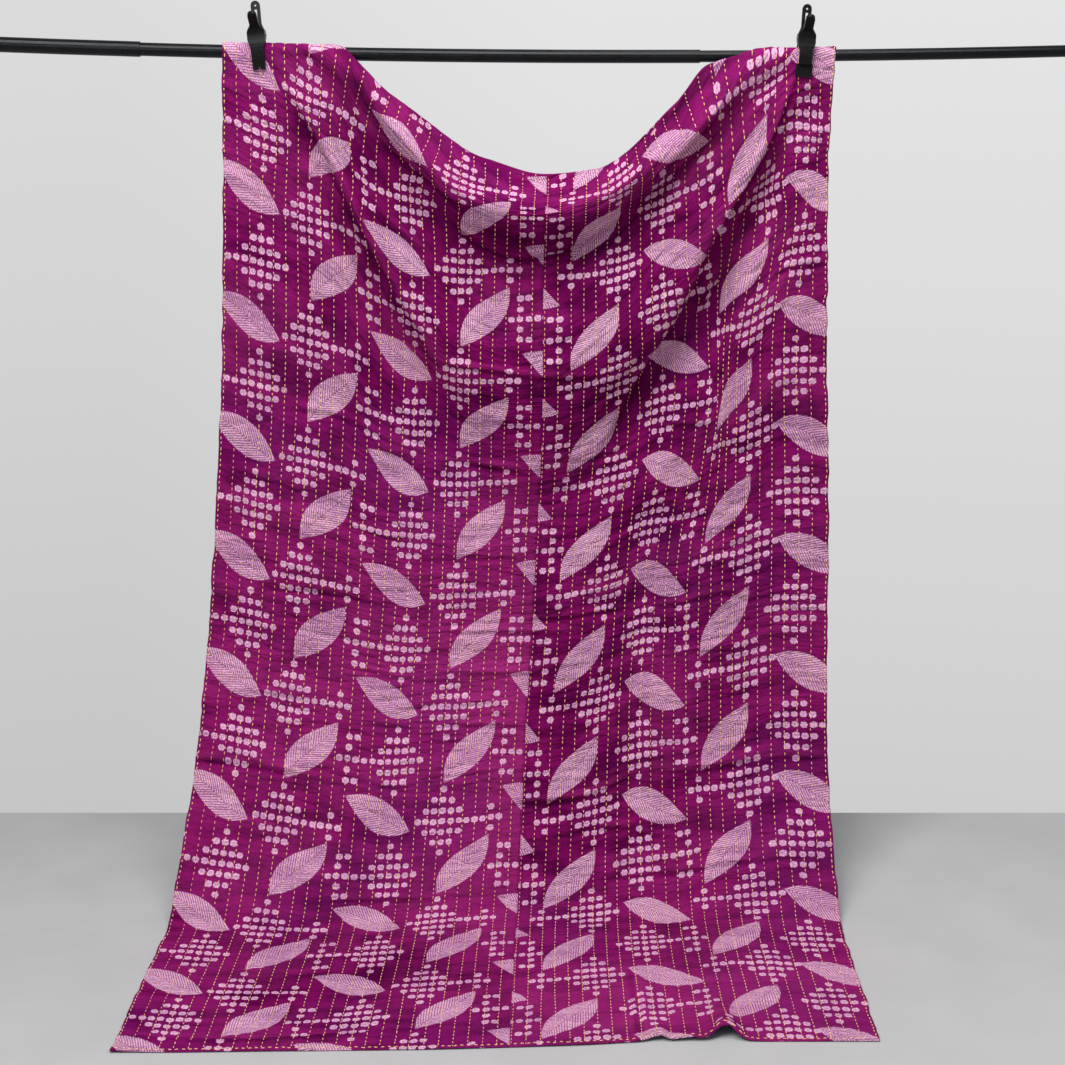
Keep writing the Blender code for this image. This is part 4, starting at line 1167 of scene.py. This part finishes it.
    # panel, across, along, half width, half height, how much lighter (+) or deeper (-)
    patches: tuple[tuple[Panel, float, float, float, float, float], ...] = (
        (Panel.LEFT, 0.62, 1.00, 0.28, 0.30, 0.75), (Panel.LEFT, 0.66, 0.60, 0.14, 0.40, 0.45),
        (Panel.LEFT, 0.20, 0.95, 0.25, 0.25, 0.25), (Panel.LEFT, 0.35, 0.18, 0.35, 0.16, -0.35),
        (Panel.LEFT, 0.05, 1.60, 0.20, 0.40, 0.12), (Panel.RIGHT, 0.95, 0.08, 0.42, 0.26, 0.75),
        (Panel.RIGHT, 0.75, 1.00, 0.16, 0.50, -0.40), (Panel.RIGHT, 1.10, 0.45, 0.20, 0.20, 0.20),
        # from here on the patches lie high in the swag: the deeper ones are painted shade in its valleys,
        # the lighter ones painted light on its roll
        (Panel.LEFT, 0.52, 1.72, 0.22, 0.26, -0.42), (Panel.RIGHT, 0.86, 1.72, 0.24, 0.30, -0.60),
        (Panel.LEFT, 0.46, 2.02, 0.20, 0.07, -0.45), (Panel.RIGHT, 0.80, 1.98, 0.22, 0.07, -0.45),
        (Panel.LEFT, 0.60, 1.955, 0.13, 0.035, -0.70), (Panel.RIGHT, 0.72, 1.955, 0.11, 0.035, -0.70),
        (Panel.LEFT, 0.50, 2.12, 0.22, 0.045, 0.42), (Panel.RIGHT, 0.80, 2.12, 0.20, 0.045, 0.42),
        (Panel.LEFT, 0.60, 1.84, 0.14, 0.045, 0.30))

    # across, along, reach across, reach along, slip across, slip along: cloth pulled askew (mm)
    pulls: tuple[tuple[float, ...], ...] = (
        (980, 2215, 130, 75, -27, 0), (320, 2215, 130, 75, 27, 0), (1040, 2145, 62, 60, 2, -34),
        (1020, 2085, 40, 35, 6, -12), (1145, 2150, 50, 45, 0, -16), (1195, 2155, 35, 40, -5, -12),
        (1178, 2055, 38, 45, -14, 18), (1285, 2015, 45, 50, 3, -11), (1185, 1955, 40, 45, -18, 16),
        (1120, 1950, 50, 65, 0, 20), (920, 1980, 95, 110, 0, -20), (300, 2150, 45, 45, 0, -15),
        (430, 2105, 45, 45, -9, 5), (190, 2120, 75, 75, 5, -18), (270, 2045, 40, 40, -7, -20),
        (300, 1985, 42, 55, -3, -8), (445, 2015, 45, 60, -8, 5), (10, 2030, 45, 70, 0, 11),
        (100, 2010, 60, 90, 8, -3), (300, 1905, 50, 40, -9, -8))
    # across, height of the arc that wrinkles follow under the top (mm)
    arc: tuple[tuple[float, float], ...] = (
        (0, 270), (100, 262), (230, 235), (300, 180), (380, 132), (430, 102), (540, 27), (620, 0),
        (680, 10), (740, 37), (800, 77), (860, 107), (920, 142), (1000, 177), (1060, 202), (1120, 232),
        (1200, 262), (1300, 275))

    def line_at(self, k: Array) -> Array:
        """Share of the width of stitched line k."""
        return self.first_line + self.line_pitch * k

    def pulled(self, u: Array, s: Array) -> tuple[Array, Array]:
        """How far the cloth is pulled askew, across and along, in metres: a sum of bells."""
        w, across, along = u * self.drape.width * 1000.0, np.zeros_like(s), np.zeros_like(s)
        for at_w, at_s, half_w, half_s, slip_w, slip_s in self.pulls:
            near = 0.001 * bell((w - at_w) / half_w) * bell((s * 1000.0 - at_s) / half_s)
            across, along = across + slip_w * near, along + slip_s * near
        inward = np.minimum(w, self.drape.width * 1000.0 - w)
        return across * smooth(inward / self.pull_hold), along

    def share(self, u: Array, s: Array) -> Array:
        """Where across the drape a stitched or printed line lies once it is pulled."""
        return u + self.pulled(u, s)[0] / self.drape.width

    def arc_at(self, u: Array, s: Array) -> Array:
        """How far wrinkles bend up towards the clamps here, in metres."""
        table = np.array(self.arc, float) / 1000.0
        begin, over = self.arc_rise
        return spline(table[:, 0], table[:, 1], u * self.drape.width) * smooth((s - begin) / over)

    def ripples(self, u: Array, s: Array) -> Array:
        """Crosswise ripples from layered noise stretched across the quilt, plus the creases."""
        w, rows = u * self.drape.width, self.drape.along_rows(u, s) - self.arc_at(u, s)
        total = self.ripple.at(w, rows)
        for crease in self.creases:
            total = total + self.crease_gain * crease.relief(w, s)
        return total

    def wave(self, u: Array, s: Array) -> Array:
        """Bending of the whole sheet off its main folds, in metres: broad swells and
        ripples that fade near the clamps and turn into lifts on the floor."""
        x, _, past, _, reach = self.drape.lay_out(u, s)
        w, rows = u * self.drape.width, self.drape.along_rows(u, s)
        total = self.ripples(u, s) + self.swell.at(w, rows)
        below, over = self.calm_under_rod
        held = self.drape.near_clamp(x, reach) * smooth((self.drape.rod_height(x) - below - reach) / over)
        lying = smooth(-past / self.lying_ease)
        lifted = np.abs(total) * self.lying_share
        return held * (total * (1.0 - lying) + lifted * lying)

    def stitch_relief(self, u: Array, s: Array, face: Face) -> Array:
        """Height of one face over the sheet: drawn in on the stitched lines, with small
        crosswise puckers between them that change from strip to strip."""
        k = (u - self.first_line) / self.line_pitch
        away = np.abs(k - np.round(k)) * 2.0
        off_ends = (k > -0.5) & (k < self.lines - 0.5)
        puff = np.where(off_ends, smooth(away * 1.25), 1.0)
        w, rows = u * self.drape.width, self.drape.along_rows(u, s)
        rows = rows - self.arc_at(u, s)
        (wide, high, fine), (wider, higher, coarse) = self.pucker_cells
        seed = self.pucker_seeds[face]
        pucker = fine * value_noise(w / wide + self.strip_slip * np.round(k), rows / high, seed)
        pucker += coarse * value_noise(w / wider, rows / higher, seed + 1)
        return -self.channel_depth * (1.0 - puff) + self.pucker_height * pucker * (0.5 + 0.5 * puff)

    def inward(self, u: Array, s: Array) -> Array:
        """Distance to the nearest hem, in metres."""
        return np.minimum(np.minimum(u, 1.0 - u) * self.drape.width, np.minimum(s, self.drape.length - s))

    def thinning(self, inward: Array) -> Array:
        """Share of the full thickness at a distance from the hem: a quarter at the edge."""
        return 0.25 + 0.75 * smooth(inward / self.edge_soft)

    def edge_pull(self, u: Array, s: Array) -> Array:
        """Small uneven pull of the side edges, in metres across."""
        near = bell(u / self.edge_reach) - bell((1.0 - u) / self.edge_reach)
        return near * (self.edge_uneven * layered_noise(s / 0.030, u * 3.0, 91, 2) - self.edge_inset)

    def surface(self, u: Array, s: Array, face: Face) -> Array:
        """Points of one face: the middle of the cloth, plus the outward direction times
        the wave and half the thickness with the stitch relief."""
        at = self.share(u, s)
        middle, out = self.drape.middle(at, s), self.drape.outward(at, s)
        middle[..., 0] += self.edge_pull(u, s)
        wave = self.wave(at, s)[..., None]
        inward = self.inward(u, s)
        half = self.drape.thick / 2.0 * self.thinning(inward)[..., None]
        if face is Face.FRONT:
            roll = sum(high * bell((inward - place) / wide) for place, wide, high in self.hem_roll)
            return middle + out * (wave + half + (self.stitch_relief(u, s, face) + roll)[..., None])
        points = middle + out * (wave - half - 0.5 * self.stitch_relief(u, s, face)[..., None])
        points[..., 2] = np.maximum(points[..., 2], LOWEST)
        return points

    def printed_at(self, u: Array, s: Array) -> Array:
        """Coordinates of the flat cloth for the print: rows climb, with small uneven pulls."""
        w = u * self.drape.width
        pull_w, pull_s = (slip.at(w, s) for slip in self.print_slip)
        return np.stack([w + pull_w * smooth(np.abs(w - self.pattern.seam) / self.seam_calm),
                         self.drape.along_rows(u, s) + pull_s - self.pulled(u, s)[1]], -1)

    def fade_and_painted_light(self, u: Array, s: Array) -> Array:
        """How much darker (below -1, painted shade) or lighter (up to 1) the ground is: soft listed patches
        and random ones, the listed ones high in the swag being painted shade in its valleys and painted
        light on its roll, with painted light on the raised folds and painted shade in the hollows."""
        w = u * self.drape.width
        left = smooth((self.pattern.seam - w) / 0.004)
        value = self.middle_fading + self.fading.at(w, s)
        for side, cw, cs, half_w, half_s, gain in self.patches:
            panel = left if side is Panel.LEFT else 1.0 - left
            value = value + gain * panel * bell((w - cw) / half_w) * bell((s - cs) / half_s)
        # painted light and shade from the relief: lighter on raised folds, darker in hollows, creases and
        # stitched channels
        relief = self.ripples(self.share(u, s), s) + self.stitch_relief(u, s, Face.FRONT)
        painted_shading = relief / self.painted_shading_step
        return np.clip(value + self.painted_shading_gain * np.clip(painted_shading, -1.8, 0.9), *self.painted_light_and_fading_range)

    def tone(self, u: Array, s: Array) -> Array:
        """Depth of the ground's colour from 0 to 1: wide clouds, smudges and short crosswise streaks."""
        w = u * self.drape.width
        smudges = self.smudges.at(w, s - self.arc_at(u, s))
        return smooth(self.middle_tone + self.clouds.at(w, s) + smudges + self.wide_tone.at(w, s))

    def cool(self, u: Array, s: Array) -> Array:
        """How far the ground's colour leans to blue, from 0 to 1, in broad patches."""
        return smooth(self.middle_coolness + self.coolness.at(u * self.drape.width, s))

    def build_cloth(self) -> bpy.types.Object:
        """One closed sheet: a fine front grid, a back grid of every second row and
        column, and turned hems that join them."""
        lines = self.line_at(np.arange(self.lines))
        inner = np.linspace(lines[0], lines[-1], (self.lines - 1) * self.steps_per_line + 1)
        edge, ends = np.array(self.edge_columns) / self.drape.width, np.array(self.hem_rows)
        across = np.concatenate([edge, inner, 1.0 - edge[::-1]])
        first = ends[-1] + self.row_gap
        rest = np.linspace(first, self.drape.length - ends[-1] - self.row_gap, self.inner_rows)
        along = np.concatenate([ends, rest, self.drape.length - ends[::-1]])
        s, u = np.meshgrid(along, across, indexing="ij")
        front, back = self.surface(u, s, Face.FRONT), self.surface(u, s, Face.BACK)
        gap = self.layer_gap * self.thinning(self.inward(u, s))
        back = kept_behind(front, back, self.drape.outward(self.share(u, s), s), gap)
        rows, cols = u.shape
        brows, bcols = back.shape[:2]
        start = rows * cols
        fine = np.arange(start).reshape(rows, cols)
        thin = start + np.arange(brows * bcols).reshape(brows, bcols)
        quads = [grid_quads(rows, cols), grid_quads(brows, bcols, start, flip=True)]
        rim = np.concatenate([rim_fans(fine[0], thin[0], False), rim_fans(fine[-1], thin[-1], True),
                              rim_fans(fine[:, 0], thin[:, 0], True),
                              rim_fans(fine[:, -1], thin[:, -1], False)])
        quad = np.concatenate(quads)
        tris = np.concatenate([quad[:, [0, 1, 2]], quad[:, [0, 2, 3]], rim])
        verts = np.concatenate([front.reshape(-1, 3), back.reshape(-1, 3)])
        piece = make_piece("quilt_sheet", verts, tris)
        flat = self.printed_at(u, s)
        give_uv(piece, np.concatenate([flat.reshape(-1, 2), flat[::2, ::2].reshape(-1, 2)]))
        shades = {"fade_and_painted_light": self.fade_and_painted_light, "arc": self.arc_at, "tone": self.tone, "cool": self.cool}
        for label, read in shades.items():
            values = read(u, s)
            give_value(piece, label, np.concatenate([values.ravel(), values[::2, ::2].ravel()]))
        which = np.zeros(len(tris), np.int32)
        nq, nb = (rows - 1) * (cols - 1), (brows - 1) * (bcols - 1)
        which[nq:nq + nb] = 1
        which[nq + nb + nq:nq + nb + nq + nb] = 1
        piece.data.materials.append(Cotton().material("printed_cotton", self.pattern))
        piece.data.materials.append(PlainBack().material("plain_back_cotton"))
        piece.data.polygons.foreach_set("material_index", which)
        return piece

    def dashes(self, face: Face) -> tuple[Array, Array, Array, Array, Array]:
        """Where each dash of running stitch lies: the lengthwise lines, both side edges and
        the front hem.

        Returns:
            u, s, length, shade mix, and whether the dash lies across the quilt.
        """
        rng = np.random.default_rng(5 if face is Face.FRONT else 6)
        offset = 0.0 if face is Face.FRONT else 0.5
        ends = (self.hem_line / self.drape.width, 1.0 - self.hem_line / self.drape.width)
        places = np.concatenate([self.line_at(np.arange(self.lines)), ends])
        steps = np.arange(int(self.drape.length / self.dash_pitch))
        place, step = np.meshgrid(places, steps, indexing="ij")
        shift = rng.uniform(0.0, 1.0, len(places))[:, None]
        s = (step + shift + offset) * self.dash_pitch + rng.normal(0.0, self.dash_slip, place.shape)
        wander = self.line_wander * value_noise(place * 380.0, step / 9.0, 3)
        wander = wander + rng.normal(0.0, self.dash_stray, place.shape)
        u = place + wander / self.drape.width
        length = self.dash * rng.uniform(*self.dash_lengths, place.shape)
        mix = rng.beta(*self.line_shades, len(places))[:, None] + rng.normal(0.0, 0.10, place.shape)
        shade = np.clip(mix, 0.0, 1.0)
        ok = (s > self.hem_line) & (s < self.drape.length - self.hem_line)
        count = int((self.drape.width - 4.0 * self.hem_line) / self.dash_pitch)
        step = np.arange(count) + 0.5 * offset + rng.normal(0.0, 0.06, count)
        hem_u = (2.0 * self.hem_line + step * self.dash_pitch) / self.drape.width
        hem_s = self.hem_line + rng.normal(0.0, 2e-4, count)
        hem_shade = np.clip(rng.normal(0.12, 0.12, count), 0.0, 1.0)
        on_lines, on_hem = int(ok.sum()), np.full(count, self.dash)
        return (np.concatenate([u[ok], hem_u]), np.concatenate([s[ok], hem_s]),
                np.concatenate([length[ok], on_hem]), np.concatenate([shade[ok], hem_shade]),
                np.arange(on_lines + count) >= on_lines)

    def build_stitches(self, face: Face) -> bpy.types.Object:
        """Dashes as small spindles: two rings of four points and two ends, lying along
        the cloth and half sunk in it."""
        u, s, length, shade, crosswise = self.dashes(face)
        sign = 1.0 if face is Face.FRONT else -1.0
        at = self.surface(u, s, face)
        reach = length * self.thread_lean / 2.0
        du = np.where(crosswise, reach / self.drape.width, 0.0)
        ds = np.where(crosswise, 0.0, reach)
        span = self.surface(u + du, s + ds, face) - self.surface(u - du, s - ds, face)
        ahead, length = unit(span), np.linalg.norm(span, axis=-1) / self.thread_lean
        out = self.drape.outward(self.share(u, s), s) * sign
        side = unit(np.cross(ahead, out))
        out = np.cross(side, ahead)
        rings = []
        for place, wide, high in self.dash_shape:
            centre = at + ahead * (place * length)[:, None] + out * (high * self.dash_height * 0.5)
            if wide == 0.0:
                rings.append(centre[:, None])
                continue
            ring = [centre + side * self.dash_half_width * wide, centre + out * self.dash_height,
                    centre - side * self.dash_half_width * wide, centre - out * self.dash_height]
            rings.append(np.stack(ring, 1))
        points = np.concatenate(rings, 1)  # 10 points per dash
        points[..., 2] = np.maximum(points[..., 2], 0.0)
        pattern = []
        for e in range(4):
            n = (e + 1) % 4
            pattern += [(0, 1 + n, 1 + e), (9, 5 + e, 5 + n), (1 + e, 1 + n, 5 + n), (1 + e, 5 + n, 5 + e)]
        faces = (np.arange(len(u)) * 10)[:, None, None] + np.array(pattern)[None]
        piece = make_piece("running_stitch_" + face.value, points.reshape(-1, 3), faces.reshape(-1, 3))
        give_value(piece, "shade", np.repeat(shade, 10))
        piece.data.materials.append(Thread().material("thread_" + face.value))
        return piece


# ----------------------------------------------------------- the rod and clamps
@dataclass
class Hardware:
    """The rod's tubes and the two spring clamps, which keep their own solids."""

    tubes: tuple[str, ...] = ("rod_outer_tube", "rod_middle_tube", "rod_inner_tube")
    arms: tuple[str, ...] = ("left_clamp_front_arm", "left_clamp_rear_arm", "right_clamp_front_arm",
                             "right_clamp_rear_arm")
    steel: tuple[str, ...] = ("left_clamp_pin", "left_clamp_spring", "right_clamp_pin",
                              "right_clamp_spring")
    pads: tuple[str, ...] = ("right_clamp_front_pad", "right_clamp_rear_pad")

    def dress(self, nodes: dict[str, bpy.types.Object]) -> None:
        """Give each node its finish."""
        finishes = (
            (self.tubes, BlackPaint().material("rod_black_paint")),
            (self.arms, BlackNylon().material("clamp_black_nylon")),
            (self.steel, Steel().material("clamp_bare_steel")),
            (self.pads, BlackNylon(roughness=0.7).material("pad_black_rubber")),
        )
        for names, finish in finishes:
            for name in names:
                nodes[name].data.materials.clear()
                nodes[name].data.materials.append(finish)


# ------------------------------------------------------------------ the studio
@dataclass
class Studio:
    """Floor, soft light and camera."""

    floor_tone: Colour = (0.425, 0.425, 0.430)
    wall_tone: Colour = (0.80, 0.80, 0.805)
    floor_half: float = 9.0
    floor_height: float = -0.0006  # a hair under the cloth
    floor_behind: float = 0.15  # where it ends, behind the rod
    lens: float = 67.6
    sensor: float = 36.0
    pitch: float = 16.0  # degrees below level
    camera_height: float = 1.7696
    camera_back: float = 3.83  # in front of the rod
    floor_wear: tuple[float, float] = (0.97, 1.03)  # how much the worn patches vary
    # painted light: the floor is painted lighter towards the front and to the right
    painted_light_nearer: tuple[float, ...] = (0.5, -1.0, 0.0, 0.17)
    painted_light_right: tuple[float, ...] = (0.1, 0.9, 0.0, 0.10)
    # how the surround darkens: from, to, level at each
    dim_behind_camera: tuple[float, ...] = (-0.5, 0.4, 0.70, 1.0)
    dim_upwards: tuple[float, ...] = (0.02, 0.55, 1.0, 0.50)
    dim_over_rod: tuple[float, ...] = (0.0, 0.12, 1.0, 0.85)
    dim_low_down: tuple[float, ...] = (-0.42, 0.02, 0.754, 1.0)
    dim_to_the_left: tuple[float, ...] = (-0.20, 0.02, 0.91, 1.0)
    # name, place, aim, size, power
    lamps: tuple[tuple[str, Point, Point, float, float], ...] = (
        ("key_light", (-1.3, -2.2, 4.0), (0.0, 0.3, 0.9), 2.2, 120.0),
        ("top_light", (0.3, -0.4, 3.8), (0.0, 0.3, 0.3), 1.8, 60.0),
    )

    def build_floor(self) -> None:
        """A plain floor that ends behind the quilt, under a pale surround, with painted light that makes it
        lighter towards the front and to the right.
        """
        half, low, rear = self.floor_half, self.floor_height, ROD_Y + self.floor_behind
        verts = np.array([(-half, -half, low), (half, -half, low), (half, rear, low), (-half, rear, low)])
        floor = make_piece("studio_floor", verts, np.array([(0, 1, 2, 3)]), soft=False)
        made, w = new_finish("studio_floor_paint")
        marks = w.noise(w.place(), 6.0, 2.0, 0.6, True)
        dark, pale = ([c * level for c in self.floor_tone] for level in self.floor_wear)
        worn = w.blend(w.span(marks, 0.3, 0.7), dark, pale)
        x, y, _ = w.split(w.place())
        # painted light: lighter towards the front and to the right
        floor_painted_light = w.span(y, *self.painted_light_nearer) + w.span(x, *self.painted_light_right)
        w.coat(w.blend(floor_painted_light, worn, (1.0, 1.0, 1.0)), 0.9)
        floor.data.materials.append(made)
        floor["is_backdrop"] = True

    def area_light(self, name: str, at: Point, aim: Point, size: float, power: float) -> None:
        """A square soft light at a point, turned to another."""
        lamp = bpy.data.lights.new(name, "AREA")
        lamp.shape, lamp.size, lamp.energy = "SQUARE", size, power
        body = bpy.data.objects.new(name, lamp)
        bpy.context.scene.collection.objects.link(body)
        body.location = at
        direction = Vector(aim) - body.location
        body.rotation_euler = direction.to_track_quat("-Z", "Y").to_euler()

    def build_light(self) -> None:
        """Even surround with a large soft light from high in front and a weaker fill."""
        world = bpy.data.worlds.new("studio_surround")
        w = Wires(world)
        x, y, z = w.split(w.place("Generated"))
        level = w.span(y, *self.dim_behind_camera) * w.span(z, *self.dim_upwards)
        level = level * (w.span(z, *self.dim_over_rod) * w.span(z, *self.dim_low_down))
        level = level * w.span(x, *self.dim_to_the_left)
        w.plug(w.blend(level, (0.0, 0.0, 0.0), self.wall_tone), w.shader.inputs["Color"])
        bpy.context.scene.world = world
        for lamp in self.lamps:
            self.area_light(*lamp)

    def build_camera(self) -> None:
        """A level-rolled camera in front of the quilt, looking slightly down."""
        data = bpy.data.cameras.new("studio_camera")
        data.lens, data.sensor_width = self.lens, self.sensor
        camera = bpy.data.objects.new("studio_camera", data)
        bpy.context.scene.collection.objects.link(camera)
        camera.location = (0.0, ROD_Y - self.camera_back, self.camera_height)
        camera.rotation_euler = (math.radians(90.0 - self.pitch), 0.0, 0.0)
        bpy.context.scene.camera = camera
        bpy.context.scene.view_settings.view_transform = "Standard"


def main() -> None:
    """Load the frame, build each part of the scene and report it."""
    logging.basicConfig(level=logging.INFO, format="%(name)s: %(message)s")
    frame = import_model()
    cad_box = [list(map(float, corner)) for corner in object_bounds()]
    studio = Studio()
    studio.build_camera()
    studio.build_light()
    studio.build_floor()
    Hardware().dress(frame["nodes"])
    quilt = Quilt()
    cloth = quilt.build_cloth()
    front, back = quilt.build_stitches(Face.FRONT), quilt.build_stitches(Face.BACK)
    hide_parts("quilt")
    for piece in (cloth, front, back):
        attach(piece, "root")
        LOG.info("%s: %d faces", piece.name, len(piece.data.polygons))
    quilt.drape.width
    quilt.drape.length
    new_box = [list(map(float, corner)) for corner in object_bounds()]
    {"cad": cad_box, "visual": new_box}


if __name__ == "__main__":
    main()
